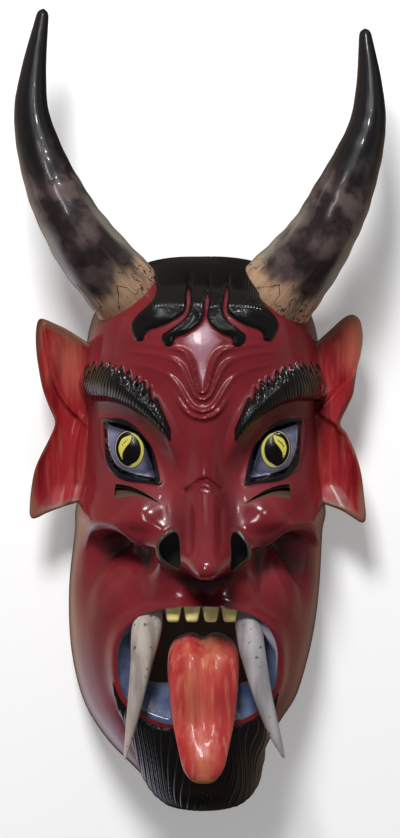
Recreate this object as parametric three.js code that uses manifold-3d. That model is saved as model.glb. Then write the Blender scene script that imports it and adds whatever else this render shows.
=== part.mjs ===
// A carved and lacquered devil mask, lying on its back rim with the face up.
// Units are millimetres. X runs to the viewer's right, Y from the chin to the horns, Z out of the face.
// The wooden face is one hollow carving. Horns, ears, tusks and tongue are pieces of their own, let into it.
import * as THREE from "three";
import { mergeVertices } from "three/addons/utils/BufferGeometryUtils.js";
import Module from "manifold-3d";

const wasm = await Module();
wasm.setup();

// Driving dimensions of the wooden face
const CROWN_Y = 114; // top of the head
const BROW_Y = 34; // level where the crown's round top starts
const CHIN_Y = -240; // level where the beard's blunt end starts
const BEARD_TIP_Y = -273; // lowest end of the beard
const HALF_WIDTH = 84; // half the width across the temples
const FACE_DEPTH = 97; // from the back rim to the forehead
const CROWN_ROUNDNESS = 2.6; // superellipse exponent of the crown
const CHIN_ROUNDNESS = 5;
const SECTION_ROUNDNESS = 2.7; // superellipse exponent of a level cut through the face
const WALL = 11; // thickness of the carved wood
const JOINT_GAP = 0.3; // glue line between two pieces

// Level, half-width on the left and on the right, and depth of the face below the brow
const JAW_LEVELS = [
  [BROW_Y, HALF_WIDTH, HALF_WIDTH, FACE_DEPTH],
  [-40, 86, 84.5, 96],
  [-80, 91.5, 86, 95.5],
  [-115, 95.5, 84.5, 95],
  [-150, 95.5, 80, 93],
  [-175, 92.5, 74.5, 91],
  [-198, 86.5, 67, 88],
  [-214, 78.5, 56.5, 87],
  [-230, 66.5, 47.5, 85.5],
  [-245, 51, 42, 83],
  [-258, 39, 38.5, 78],
  [BEARD_TIP_Y, 33, 35, 70],
];

// Broad forms of the face: place beside the midline, reach sideways, up and down, rise, and tilt in degrees
const FORMS = [
  { name: "glabella", out: 0, y: 8, wide: 16, up: 22, down: 24, rise: 5, tilt: 0 },
  { name: "eye socket", out: 46, y: -23, wide: 29, up: 17, down: 17, rise: -12, tilt: 45 },
  { name: "cheek apple", out: 41, y: -69, wide: 17, up: 20, down: 11, rise: 12, tilt: 0 },
  { name: "cheekbone", out: 68, y: -66, wide: 20, up: 18, down: 9, rise: 6, tilt: 0 },
  { name: "cheek hollow", out: 62, y: -94, wide: 19, up: 10, down: 20, rise: -14, tilt: 0 },
  { name: "muzzle", out: 0, y: -112, wide: 48, up: 24, down: 42, rise: 9, tilt: 0 },
  { name: "philtrum", out: 0, y: -119, wide: 7, up: 9, down: 9, rise: -4, tilt: 0 },
  { name: "nostril wing", out: 26, y: -85, wide: 9, up: 12, down: 12, rise: 9, tilt: 0 },
];
const BROW_RIDGE = { rise: 6, reach: 11, from: 10, to: 26 };
const BROW_ARCH = { out: 72, y: 26, bend: 0.0155 };

// Nose: level, rise above the cheeks and half-width; it overhangs the lip by a share of its rise
const NOSE_LEVELS = [
  [14, 0, 9],
  [-20, 7, 9],
  [-42, 12.5, 10],
  [-49, 17, 10.5],
  [-76, 35.8, 13.6],
  [-88, 45.2, 15.8],
  [-94, 47, 14.8],
  [-99, 44, 12.4],
  [-103, 34, 9],
  [-108, 0, 5.5],
];
const NOSE_X = 2;
const NOSE_SQUARENESS = 3.2;
const NOSE_OVERHANG = 0.08;

// Eyes: an almond from the outer to the inner corner, over a ball
const EYE = { outer: [64.5, -2], inner: [27.5, -41.5], over: [39, -3], under: [66, -36] };
const EYE_BALL = { centre: [48, -22, 54], radius: 33 };
const SLIT = {
  outer: [60, -44.5],
  inner: [28.5, -57.5],
  over: [45, -44],
  under: [44, -50],
  foot: [60, -54.5],
};
const NOSTRIL = { out: 25, y: -88, wide: 6.2, high: 11.5, floor: 91 };

// Mouth: the lip's edge, and the narrower hole behind the inner lip
const LIP = { x: -3.4, y: -166, wide: 54.5, up: 39.5, down: 42.5, roundness: 2.5 };
const THROAT = { x: -2, y: -157, wide: 44, up: 29, down: 24, roundness: 2.5 };
const LIP_DEPTH = 12;
const LIP_ROLL = { rise: 4.5, reach: 6 };
const TEETH = {
  count: 4,
  x: -0.8,
  pitch: 12.8,
  top: 10.6,
  foot: 7.8,
  y: -126,
  drop: 11,
  front: 99,
  thick: 9,
};

// Carved hair, brows, wrinkles and beard, raised above the face
const HAIR_RISE = 2.6;
const HAIR_LOCKS = [
  { path: [[2, 112], [2, 82], [4, 71], [14, 61.5], [23, 57], [24, 51]], width: [19, 12.5, 11, 8, 7, 6] },
  { path: [[20, 111], [20, 88], [23, 73], [33, 66], [42.5, 60], [42, 54.5]], width: [24, 19, 18, 14, 10, 6] },
];
const BROW = { tufts: 8, from: 27, to: 80, rise: [3.2, 4.6], lean: -3.5 };
const BROW_FOOT = { out: 70, y: 12.8, bend: 0.0125 };
const BROW_TIPS = { out: 72, y: 41.5, bend: 0.0175 };
const WRINKLES = { count: 4, rise: 2.2, width: 4.2, reach: 50, slope: 0.1 };
const WRINKLE_LEVELS = [49, 42.5, 35, 31];
const WRINKLE_DIPS = [31, 29, 29.5, 30.5];
const WRINKLE_HALVES = [6.2, 10.6, 15.4, 19.5];
const BEARD = { locks: 8, rise: [4.5, 7], top: -212, bottom: -273.5, spread: 45, close: 34, sag: 16 };

// Horns: middle lines with the radius at each point last; the left one is the longer
const HORN_LINES = {
  left: [
    [-45.5, 77, 34, 25],
    [-53, 88, 55, 25.6],
    [-82.4, 122.5, 78, 22.4],
    [-104, 161.7, 80, 18.2],
    [-116.8, 204.3, 76, 12.6],
    [-116.7, 238, 70, 8.6],
    [-110.5, 285, 60, 2.4],
  ],
  right: [
    [43, 77, 34, 25],
    [53, 88.4, 55, 28.4],
    [78.3, 120.1, 78, 23.4],
    [97.2, 156.5, 80, 19.8],
    [112, 196.1, 76, 13.4],
    [115.2, 227.5, 70, 9],
    [112.8, 271.2, 60, 2.4],
  ],
};
const HORN_STEPS = 11;
const HORN_SIDES = 10;

// Ears: the outer edge from the upper to the lower tip, and the root inside the wood
const EAR_EDGE = [
  [114.6, 70.4],
  [117.2, 52],
  [114, 28],
  [103.9, -3],
  [115, -28],
  [120.2, -50],
  [121.3, -68.2],
];
const EAR_ROOT = { x: 72, top: 48, bottom: -52, z: 34 };
const EAR_REACH = { left: 1, right: 0.9 };
const EAR_THICK = { root: 11, edge: 3.5 };
const EAR_FLARE = 8;
const EAR_BOWL = 7;
const EAR_GRID = { rows: 10, columns: 4 };

// Tusks: middle lines with the radius at each point last
const TUSK_LINES = {
  left: [
    [-35, -122, 82, 8],
    [-38, -142, 92, 10],
    [-41.2, -164, 99, 7.6],
    [-45, -188, 104, 5.4],
    [-49, -211, 106, 3.2],
    [-52.6, -229, 106, 0.9],
  ],
  right: [
    [28, -122, 82, 7.5],
    [32.4, -150, 95, 8.8],
    [35.7, -166, 99, 8],
    [41, -188, 104, 6.4],
    [47.5, -209, 106, 4.4],
    [54.9, -228, 106, 0.9],
  ],
};
const TUSK_STEPS = 7;
const TUSK_SIDES = 7;
// Tongue: level, height, half-width and half-thickness of each point of its middle line
const TONGUE_LINE = [
  [-165, 62, 21, 17],
  [-163, 79, 23.5, 16.5],
  [-167, 92, 24.3, 13],
  [-182, 100.5, 23.5, 8.5],
  [-204, 103, 21, 6.3],
  [-222, 108.5, 17, 5.6],
  [-233, 112.3, 14.2, 5],
  [-240, 112.3, 10, 4],
  [-243, 110.5, 5, 2.4],
];
const TONGUE_X = 0.5;
const TONGUE_GROOVE = 3.2;
const TONGUE_STEPS = 12;
const TONGUE_SIDES = 12;

// Finish of each piece
const COLOURS = { wood: 0x6e1f26, horn: 0x2b2524, flesh: 0xb03020, ivory: 0x9a938c };

// Small maths
const clamp = (t) => Math.min(1, Math.max(0, t));
const ease = (from, to, t) => {
  const s = clamp((t - from) / (to - from));
  return s * s * (3 - 2 * s);
};
const mix = (a, b, t) => a + (b - a) * t;

// A value of a table of levels, read with a smooth curve through its rows
function readLevels(levels, column, y) {
  const last = levels.length - 1;
  if (y >= levels[0][0]) return levels[0][column];
  if (y <= levels[last][0]) return levels[last][column];
  let i = 0;
  while (y < levels[i + 1][0]) i++;
  const rowAt = (n) => levels[Math.min(last, Math.max(0, n))];
  const [before, from, to, after] = [rowAt(i - 1), rowAt(i), rowAt(i + 1), rowAt(i + 2)];
  const span = to[0] - from[0];
  const t = (y - from[0]) / span;
  const slope = (a, b) => (a === b ? 0 : ((b[column] - a[column]) / (b[0] - a[0])) * span);
  const [m0, m1] = [slope(before, to), slope(from, after)];
  const rest = 1 - t;
  const start = rest * rest * ((1 + 2 * t) * from[column] + t * m0);
  const end = t * t * ((3 - 2 * t) * to[column] - rest * m1);
  return start + end;
}

// Share of its full section that the face keeps at a level, down to nothing at the crown and the beard's end
function closing(y) {
  const above = clamp((y - BROW_Y) / (CROWN_Y - BROW_Y));
  const below = clamp((CHIN_Y - y) / (CHIN_Y - BEARD_TIP_Y));
  const crown = (1 - above ** CROWN_ROUNDNESS) ** (1 / CROWN_ROUNDNESS);
  const chin = (1 - below ** CHIN_ROUNDNESS) ** (1 / CHIN_ROUNDNESS);
  return crown * chin;
}
const halfWidth = (y, x, inset = 0) => (readLevels(JAW_LEVELS, x < 0 ? 1 : 2, y) - inset) * closing(y);
const depth = (y, inset = 0) => (readLevels(JAW_LEVELS, 3, y) - inset) * closing(y);

// Outward direction of the plain egg form at a point on it
function outward(x, y, z) {
  const level = (px, py, pz) =>
    Math.abs(px / halfWidth(py, x)) ** SECTION_ROUNDNESS + Math.abs(pz / depth(py)) ** SECTION_ROUNDNESS;
  const h = 0.05;
  const slope = new THREE.Vector3(
    level(x + h, y, z) - level(x - h, y, z),
    level(x, y + h, z) - level(x, y - h, z),
    level(x, y, z + h) - level(x, y, Math.max(0, z - h)),
  );
  return slope.normalize();
}

// Rise of one broad form, a smooth hill or hollow
function hill(form, out, y) {
  const turn = THREE.MathUtils.degToRad(form.tilt);
  const [dx, dy] = [out - form.out, y - form.y];
  const along = dx * Math.cos(turn) + dy * Math.sin(turn);
  const across = dy * Math.cos(turn) - dx * Math.sin(turn);
  const high = across > 0 ? form.up : form.down;
  return form.rise * Math.exp(-((along / form.wide) ** 2) - (across / high) ** 2);
}
const arch = (curve, out) => curve.y - curve.bend * (curve.out - out) ** 2;

function noseRise(x, y) {
  const beside = Math.abs((x - NOSE_X) / readLevels(NOSE_LEVELS, 2, y));
  return readLevels(NOSE_LEVELS, 1, y) / (1 + beside ** NOSE_SQUARENESS);
}

// Place on an oval's edge at an angle, and how far a point is from its middle, with 1 on the edge
function ovalPoint(oval, angle, grow = 0) {
  const [c, s] = [Math.cos(angle), Math.sin(angle)];
  const high = s > 0 ? oval.up : oval.down;
  const power = 2 / oval.roundness;
  return [
    oval.x + (oval.wide + grow) * Math.sign(c) * Math.abs(c) ** power,
    oval.y + (high + grow) * Math.sign(s) * Math.abs(s) ** power,
  ];
}
function ovalShare(oval, x, y) {
  const [dx, dy] = [(x - oval.x) / oval.wide, y - oval.y];
  const high = dy > 0 ? oval.up : oval.down;
  return (Math.abs(dx) ** oval.roundness + Math.abs(dy / high) ** oval.roundness) ** (1 / oval.roundness);
}

// Height of the carving above the plain egg form
function relief(x, y) {
  const out = Math.abs(x);
  let rise = FORMS.reduce((sum, form) => sum + hill(form, out, y), 0);
  const fromArch = (y - arch(BROW_ARCH, out)) / BROW_RIDGE.reach;
  rise += BROW_RIDGE.rise * ease(BROW_RIDGE.from, BROW_RIDGE.to, out) * Math.exp(-fromArch * fromArch);
  const fromLip = ((ovalShare(LIP, x, y) - 1) * LIP.wide) / LIP_ROLL.reach;
  rise += LIP_ROLL.rise * Math.exp(-fromLip * fromLip);
  return rise + noseRise(x, y);
}

// A point of the carved face over a point of the plain egg form
function carved(x, y, z, lift) {
  const away = outward(x, y, z);
  const rise = relief(x, y) * ease(2, 30, z);
  const point = new THREE.Vector3(x, y, z).addScaledVector(away, rise + lift);
  point.y -= NOSE_OVERHANG * noseRise(x, y);
  return point;
}
const eggHeight = (x, y) => {
  const share = Math.min(1, Math.abs(x / halfWidth(y, x)));
  return depth(y) * (1 - share ** SECTION_ROUNDNESS) ** (1 / SECTION_ROUNDNESS);
};
const faceHeight = (x, y) => eggHeight(x, y) + relief(x, y);

// Closed geometry of a grid of points whose rows run from rim to rim, with a point at each pole
function domeGeometry(rows, topPole, bottomPole) {
  const columns = rows[0].length;
  const points = [...rows.flat(), topPole, bottomPole];
  const [top, bottom] = [points.length - 2, points.length - 1];
  const at = (row, column) => row * columns + column;
  const faces = [];
  for (let r = 0; r + 1 < rows.length; r++) {
    for (let c = 0; c + 1 < columns; c++) {
      faces.push(at(r, c), at(r + 1, c), at(r, c + 1), at(r, c + 1), at(r + 1, c), at(r + 1, c + 1));
    }
    const [left, right] = [at(r, 0), at(r, columns - 1)];
    faces.push(left, right, left + columns, right, right + columns, left + columns);
  }
  const end = rows.length - 1;
  for (let c = 0; c + 1 < columns; c++) {
    faces.push(top, at(0, c), at(0, c + 1), bottom, at(end, c + 1), at(end, c));
  }
  faces.push(top, at(0, columns - 1), at(0, 0), bottom, at(end, 0), at(end, columns - 1));
  return new THREE.BufferGeometry().setFromPoints(points).setIndex(faces);
}

// Levels of the face's rows, close together towards both ends
function faceLevels(crownRows, faceRows, chinRows) {
  const quarter = (i, n) => (Math.PI / 2) * (1 - i / n);
  const crown = Array.from({ length: crownRows - 1 }, (_, i) =>
    BROW_Y + (CROWN_Y - BROW_Y) * Math.sin(quarter(i + 1, crownRows)) ** (2 / CROWN_ROUNDNESS));
  const face = Array.from({ length: faceRows + 1 }, (_, i) => mix(BROW_Y, CHIN_Y, i / faceRows));
  const chin = Array.from({ length: chinRows - 1 }, (_, i) =>
    CHIN_Y - (CHIN_Y - BEARD_TIP_Y) * Math.cos(quarter(i + 1, chinRows)) ** (2 / CHIN_ROUNDNESS));
  return [...crown, ...face, ...chin];
}

// Points of a level cut through the egg form from rim to rim, closer together near the midline
function sectionPoints(y, columns, crowding, inset = 0) {
  const samples = 160;
  const power = 2 / SECTION_ROUNDNESS;
  const cut = Array.from({ length: samples + 1 }, (_, i) => {
    const angle = Math.PI * (1 - i / samples);
    const side = Math.cos(angle);
    const x = Math.sign(side) * halfWidth(y, side, inset) * Math.abs(side) ** power;
    return [x, depth(y, inset) * Math.abs(Math.sin(angle)) ** power];
  });
  cut[0][1] = cut[samples][1] = 0;
  const weight = (x) => 1 + crowding * Math.exp(-((x / 30) ** 2));
  const run = [0];
  for (let i = 1; i <= samples; i++) {
    const [a, b] = [cut[i - 1], cut[i]];
    run.push(run[i - 1] + Math.hypot(b[0] - a[0], b[1] - a[1]) * weight((a[0] + b[0]) / 2));
  }
  let i = 0;
  return Array.from({ length: columns + 1 }, (_, c) => {
    if (c === columns) return cut[samples];
    const wanted = (run[samples] * c) / columns;
    while (i < samples - 1 && run[i + 1] < wanted) i++;
    const t = clamp((wanted - run[i]) / (run[i + 1] - run[i]));
    return [mix(cut[i][0], cut[i + 1][0], t), mix(cut[i][1], cut[i + 1][1], t)];
  });
}

// The face as a solid egg with its broad forms, raised by a lift
function faceSolid(lift, grid) {
  const rows = faceLevels(grid.crown, grid.face, grid.chin).map((y) =>
    sectionPoints(y, grid.columns, grid.crowding).map(([x, z]) => carved(x, y, z, lift)));
  const pole = (y) => new THREE.Vector3(0, y, 0);
  return solid(domeGeometry(rows, pole(CROWN_Y + lift), pole(BEARD_TIP_Y - lift)));
}

// The hollow behind the face: the egg drawn in by the wood's thickness, lower under hollows of the carving
function hollowSolid() {
  const drawIn = (y) => {
    if (y > BROW_Y) return mix(BROW_Y, CROWN_Y - WALL, (y - BROW_Y) / (CROWN_Y - BROW_Y));
    return y < CHIN_Y ? mix(CHIN_Y, BEARD_TIP_Y + WALL, (CHIN_Y - y) / (CHIN_Y - BEARD_TIP_Y)) : y;
  };
  const rows = faceLevels(5, 13, 3).map((y) =>
    sectionPoints(y, 10, 0, WALL).map(([x, z]) => {
      const height = z === 0 ? -5 : Math.max(2, z + Math.min(0, relief(x, y)));
      return new THREE.Vector3(x, drawIn(y), height);
    }));
  const pole = (y) => new THREE.Vector3(0, y, -5);
  return solid(domeGeometry(rows, pole(CROWN_Y - WALL), pole(BEARD_TIP_Y + WALL)));
}

// manifold-3d solid of a closed geometry, facing outwards
function solid(geometry) {
  const bare = new THREE.BufferGeometry().setAttribute("position", geometry.getAttribute("position"));
  if (geometry.index) bare.setIndex(geometry.index);
  const merged = mergeVertices(bare, 1e-4);
  const faces = Array.from(merged.index.array);
  const make = (triangles) => new wasm.Manifold(new wasm.Mesh({
    numProp: 3,
    vertProperties: merged.attributes.position.array,
    triVerts: new Uint32Array(triangles),
  }));
  const made = make(faces);
  return made.volume() > 0 ? made : make(faces.reverse());
}

function geometryOf(body) {
  const { numProp, vertProperties, triVerts, numVert } = body.getMesh();
  const positions = new Float32Array(numVert * 3);
  for (let i = 0; i < numVert; i++) {
    positions.set(vertProperties.subarray(i * numProp, i * numProp + 3), i * 3);
  }
  return new THREE.BufferGeometry()
    .setAttribute("position", new THREE.BufferAttribute(positions, 3))
    .setIndex(new THREE.BufferAttribute(triVerts, 1));
}

// A closed solid through rings of points
function loft(rings) {
  const sides = rings[0].length;
  const middle = (ring) => ring.reduce((sum, p) => sum.add(p), new THREE.Vector3()).divideScalar(sides);
  const points = [...rings.flat(), middle(rings[0]), middle(rings[rings.length - 1])];
  const [start, end] = [points.length - 2, points.length - 1];
  const last = (rings.length - 1) * sides;
  const faces = [];
  for (let i = 0; i < sides; i++) {
    const next = (i + 1) % sides;
    for (let r = 0; r + 1 < rings.length; r++) {
      const [a, b] = [r * sides, (r + 1) * sides];
      faces.push(a + i, b + i, a + next, a + next, b + i, b + next);
    }
    faces.push(start, i, next, end, last + next, last + i);
  }
  return solid(new THREE.BufferGeometry().setFromPoints(points).setIndex(faces));
}

// A standing prism over an outline, deep enough to reach through the face
function prism(outline, low = 20, high = 190) {
  const shape = new THREE.Shape(outline.map(([x, y]) => new THREE.Vector2(x, y)));
  const standing = new THREE.ExtrudeGeometry(shape, { depth: high - low, bevelEnabled: false });
  return solid(standing.translate(0, 0, low));
}
const mirrored = (outline, side) => outline.map(([x, y]) => [x * side, y]);

// Outline of a band of varying width along a path, with a round far end
function band(path, widths, steps) {
  const line = new THREE.SplineCurve(path.map(([x, y]) => new THREE.Vector2(x, y)));
  const [near, far] = [[], []];
  for (let i = 0; i <= steps; i++) {
    const t = i / steps;
    const at = t * (widths.length - 1);
    const k = Math.min(widths.length - 2, Math.floor(at));
    const half = mix(widths[k], widths[k + 1], at - k) / 2;
    const [p, way] = [line.getPoint(t), line.getTangent(t)];
    near.push([p.x - way.y * half, p.y + way.x * half]);
    far.push([p.x + way.y * half, p.y - way.x * half]);
  }
  const [tip, way] = [line.getPoint(1), line.getTangent(1)];
  const reach = widths[widths.length - 1] * 0.45;
  return [...near, [tip.x + way.x * reach, tip.y + way.y * reach], ...far.reverse()];
}

// Outline between two corners, from two bent edges; a foot apart from the outer corner makes that end blunt
function almond({ outer, inner, over, under, foot }, steps) {
  const bend = (a, via, b) => new THREE.QuadraticBezierCurve(
    new THREE.Vector2(...a), new THREE.Vector2(...via), new THREE.Vector2(...b)).getPoints(steps);
  const lower = bend(inner, under, foot ?? outer).slice(1, foot ? undefined : -1);
  return [...bend(outer, over, inner), ...lower].map((p) => [p.x, p.y]);
}

// Raised carving: the part of a lifted face inside an outline
const raised = (outline, lifted) => prism(outline).intersect(lifted);
const all = (bodies) => bodies.reduce((sum, body) => sum.add(body));
const SIDES = [-1, 1];
const CARVING_GRID = { crown: 6, face: 31, chin: 4, columns: 28, crowding: 1 };

function hair(grow = 0) {
  const lifted = faceSolid(HAIR_RISE + grow, CARVING_GRID);
  return all(SIDES.flatMap((side) =>
    HAIR_LOCKS.map(({ path, width }) =>
      raised(mirrored(band(path, width.map((w) => w + 2 * grow), 8), side), lifted))));
}

// Each brow is a row of overlapping tufts that lean towards the nose, alternately higher and lower
function brows() {
  const lifted = BROW.rise.map((rise) => faceSolid(rise, CARVING_GRID));
  const pitch = (BROW.to - BROW.from) / BROW.tufts;
  const tuft = (i) => {
    const [from, to] = [BROW.from + pitch * (i - 0.35), BROW.from + pitch * (i + 1.35)];
    const crest = BROW.from + pitch * (i + 0.5);
    const shoulder = (out) => mix(arch(BROW_FOOT, out), arch(BROW_TIPS, out), 0.55);
    return [[from, arch(BROW_FOOT, from)], [to, arch(BROW_FOOT, to)], [to, shoulder(to)],
      [crest + BROW.lean, arch(BROW_TIPS, crest)], [from, shoulder(from)]];
  };
  return all(SIDES.flatMap((side) =>
    Array.from({ length: BROW.tufts }, (_, i) => raised(mirrored(tuft(i), side), lifted[i % 2]))));
}

// Nested folds of the forehead that dip to a point above the nose
function wrinkles() {
  const lifted = faceSolid(WRINKLES.rise, CARVING_GRID);
  const steps = 12;
  const fold = (i) => {
    const edge = (offset) => Array.from({ length: steps + 1 }, (_, n) => {
      const crowding = 1 - 0.4 * Math.cos((Math.PI * n) / steps) ** 2;
      const x = mix(-WRINKLES.reach, WRINKLES.reach, n / steps) * crowding;
      const dip = WRINKLE_DIPS[i] / (1 + Math.abs(x / (WRINKLE_HALVES[i] + offset)) ** 3.4);
      return [x, WRINKLE_LEVELS[i] + WRINKLES.slope * Math.abs(x) - dip - offset];
    });
    return [...edge(WRINKLES.width / 2), ...edge(-WRINKLES.width / 2).reverse()];
  };
  return all(Array.from({ length: WRINKLES.count }, (_, i) => raised(fold(i), lifted)));
}

function eyes() {
  const ball = new THREE.SphereGeometry(EYE_BALL.radius, 20, 14).rotateX(Math.PI / 2);
  return all(SIDES.map((side) => {
    const [out, y, z] = EYE_BALL.centre;
    const round = solid(ball.clone().translate(out * side, y, z));
    return prism(mirrored(almond(EYE, 7), side), 60).intersect(round);
  }));
}

// The beard is a fan of pointed locks, alternately higher and lower
function beard() {
  const lifted = BEARD.rise.map((rise) => faceSolid(rise, CARVING_GRID));
  const lock = (i) => {
    const place = (n) => (2 * n) / BEARD.locks - 1;
    const top = (n) => [BEARD.spread * place(n), BEARD.top + BEARD.sag * place(n) ** 2];
    const foot = (n) => [BEARD.close * place(n), BEARD.bottom + 0.5 * BEARD.sag * place(n) ** 2];
    return [top(i - 0.15), foot(i - 0.15), foot(i + 1.15), top(i + 1.15)];
  };
  return all(Array.from({ length: BEARD.locks }, (_, i) => raised(lock(i), lifted[i % 2])));
}

// The opening of the mouth: a funnel from the lip's edge to the hole behind, then straight through
function mouthCut(grow = 0) {
  const sides = 26;
  const ring = (oval, height, wider) => Array.from({ length: sides }, (_, i) => {
    const angle = (2 * Math.PI * i) / sides;
    const [x, y] = ovalPoint(oval, angle, grow + wider);
    const [lipX, lipY] = ovalPoint(LIP, angle);
    return new THREE.Vector3(x, y, height(faceHeight(lipX, lipY)));
  });
  return loft([
    ring(THROAT, () => -2, 0),
    ring(THROAT, (lip) => lip - LIP_DEPTH, 0),
    ring(LIP, (lip) => lip - 2, 0),
    ring(LIP, (lip) => lip + 45, 8),
  ]);
}

const slitCuts = () => all(SIDES.map((side) => prism(mirrored(almond(SLIT, 5), side))));

function nostrilCuts() {
  const steps = 12;
  const edge = Array.from({ length: steps }, (_, i) => {
    const angle = (2 * Math.PI * i) / steps;
    return [NOSTRIL.out + NOSTRIL.wide * Math.cos(angle), NOSTRIL.y + NOSTRIL.high * Math.sin(angle)];
  });
  return all(SIDES.map((side) => {
    const besideNose = mirrored(edge, side).map(([x, y]) => [x + NOSE_X / 2, y]);
    return prism(besideNose, NOSTRIL.floor);
  }));
}

// Four square teeth under the upper lip, carved with the face
function teeth(grow = 0) {
  const tooth = (i) => {
    const x = TEETH.x + TEETH.pitch * (i - (TEETH.count - 1) / 2);
    const [top, foot] = [TEETH.top / 2 + grow, TEETH.foot / 2 + grow];
    const [high, low] = [TEETH.y + 5, TEETH.y - TEETH.drop - grow];
    return prism([[x - top, high], [x - foot, low], [x + foot, low], [x + top, high]],
      TEETH.front - TEETH.thick - grow, TEETH.front + grow);
  };
  return all(Array.from({ length: TEETH.count }, (_, i) => tooth(i)));
}

// The wooden face: an egg with its carving, hollowed out and pierced
function maskBody() {
  const outside = all([faceSolid(0, CARVING_GRID), hair(), brows(), wrinkles(), eyes(), beard()]);
  const belowFloor = prism([[-200, -400], [200, -400], [200, 300], [-200, 300]], -60, 0);
  const pierced = [hollowSolid(), mouthCut(), slitCuts(), nostrilCuts(), belowFloor]
    .reduce((body, cut) => body.subtract(cut), outside);
  return pierced.add(teeth());
}

// What the other pieces are cut back to where they meet the wood
function woodForJoints() {
  const face = faceSolid(JOINT_GAP, CARVING_GRID).add(hair(JOINT_GAP));
  return face.subtract(mouthCut(-JOINT_GAP)).add(teeth(JOINT_GAP));
}

// A tapered body round a middle line, each of whose points carries its radius last
function sweep(line, steps, sides) {
  const curve = new THREE.CatmullRomCurve3(line.map(([x, y, z]) => new THREE.Vector3(x, y, z)));
  const radius = (t) => {
    const at = t * (line.length - 1);
    const k = Math.min(line.length - 2, Math.floor(at));
    return mix(line[k][3], line[k + 1][3], at - k);
  };
  const rings = [];
  for (let i = 0; i <= steps; i++) {
    const t = i / steps;
    const way = curve.getTangent(t);
    const across = new THREE.Vector3(0, 0, 1).cross(way).normalize();
    const over = way.clone().cross(across).normalize();
    rings.push(Array.from({ length: sides }, (_, n) => {
      const angle = (2 * Math.PI * n) / sides;
      return curve.getPoint(t)
        .addScaledVector(across, radius(t) * Math.cos(angle))
        .addScaledVector(over, radius(t) * Math.sin(angle));
    }));
  }
  return loft(rings);
}
const horn = (line) => sweep(line, HORN_STEPS, HORN_SIDES);
const tusk = (line) => sweep(line, TUSK_STEPS, TUSK_SIDES);

// An ear is a leaf between its root in the wood and its outer edge, bowled in front and thin outside
function ear(side, reach) {
  const { rows, columns } = EAR_GRID;
  const edge = new THREE.SplineCurve(EAR_EDGE.map(([x, y]) => new THREE.Vector2(x, y)));
  const rings = [];
  for (let r = 0; r <= rows; r++) {
    const t = r / rows;
    const tip = edge.getPoint(t);
    const outer = EAR_ROOT.x + (tip.x - EAR_ROOT.x) * reach;
    const rootY = mix(EAR_ROOT.top, EAR_ROOT.bottom, t);
    const lobe = Math.sin(2 * Math.PI * t) ** 2;
    const face = (c, front) => {
      const s = c / columns;
      const thick = mix(EAR_THICK.root, EAR_THICK.edge, s) / 2;
      const z = EAR_ROOT.z + EAR_FLARE * s * s - EAR_BOWL * lobe * Math.sin(Math.PI * s);
      const x = side * mix(EAR_ROOT.x, outer, s);
      return new THREE.Vector3(x, mix(rootY, tip.y, s), z + (front ? thick : -thick));
    };
    const front = Array.from({ length: columns + 1 }, (_, c) => face(c, true));
    const back = Array.from({ length: columns + 1 }, (_, c) => face(columns - c, false));
    rings.push([...front, ...back]);
  }
  return loft(rings);
}

// The tongue lolls over the lower lip, with a groove down its middle
function tongue() {
  const line = new THREE.CatmullRomCurve3(TONGUE_LINE.map(([y, z]) => new THREE.Vector3(TONGUE_X, y, z)));
  const size = (column, t) => {
    const at = t * (TONGUE_LINE.length - 1);
    const k = Math.min(TONGUE_LINE.length - 2, Math.floor(at));
    return mix(TONGUE_LINE[k][column], TONGUE_LINE[k + 1][column], at - k);
  };
  const rings = [];
  for (let i = 0; i <= TONGUE_STEPS; i++) {
    const t = i / TONGUE_STEPS;
    const [middle, way] = [line.getPoint(t), line.getTangent(t)];
    const over = new THREE.Vector3(1, 0, 0).cross(way).normalize().negate();
    const [wide, thick] = [size(2, t), size(3, t)];
    rings.push(Array.from({ length: TONGUE_SIDES }, (_, n) => {
      const angle = (2 * Math.PI * (n + 0.5)) / TONGUE_SIDES;
      const [c, s] = [Math.cos(angle), Math.sin(angle)];
      const x = wide * Math.sign(c) * Math.abs(c) ** 0.75;
      const groove = s > 0 ? TONGUE_GROOVE * Math.exp(-((x / 5) ** 2)) * (1 - t) : 0;
      const rise = thick * Math.sign(s) * Math.abs(s) ** 0.75 - groove;
      return middle.clone().addScaledVector(over, rise).add(new THREE.Vector3(x, 0, 0));
    }));
  }
  return loft(rings);
}

function piece(name, body, colour, roughness) {
  const geometry = geometryOf(body).toNonIndexed();
  geometry.computeVertexNormals();
  const finish = new THREE.MeshStandardMaterial({ color: colour, roughness, metalness: 0 });
  const mesh = new THREE.Mesh(geometry, finish);
  mesh.name = name;
  return mesh;
}

// The mask's pieces, with the origin under the middle of the whole outline
function devilMask() {
  const wood = woodForJoints();
  const group = new THREE.Group();
  group.add(piece("mask_face", maskBody(), COLOURS.wood, 0.25));
  for (const [name, side] of [["left", -1], ["right", 1]]) {
    group.add(piece(`horn_${name}`, horn(HORN_LINES[name]).subtract(wood), COLOURS.horn, 0.35));
    group.add(piece(`ear_${name}`, ear(side, EAR_REACH[name]).subtract(wood), COLOURS.flesh, 0.3));
    group.add(piece(`tusk_${name}`, tusk(TUSK_LINES[name]).subtract(wood), COLOURS.ivory, 0.6));
  }
  group.add(piece("tongue", tongue().subtract(wood), COLOURS.flesh, 0.3));
  const box = new THREE.Box3().setFromObject(group);
  const middle = box.getCenter(new THREE.Vector3());
  group.position.set(-middle.x, -middle.y, -box.min.z);
  return group;
}

export default devilMask();
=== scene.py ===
# A carved and lacquered devil mask, lying on its back rim: fine meshes, paint, floor, light and camera.
# Shapes are worked out in millimetres about the mask's own midline.
# They are moved into the shared frame when a mesh is made.
import math
from types import SimpleNamespace as Sizes

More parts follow.
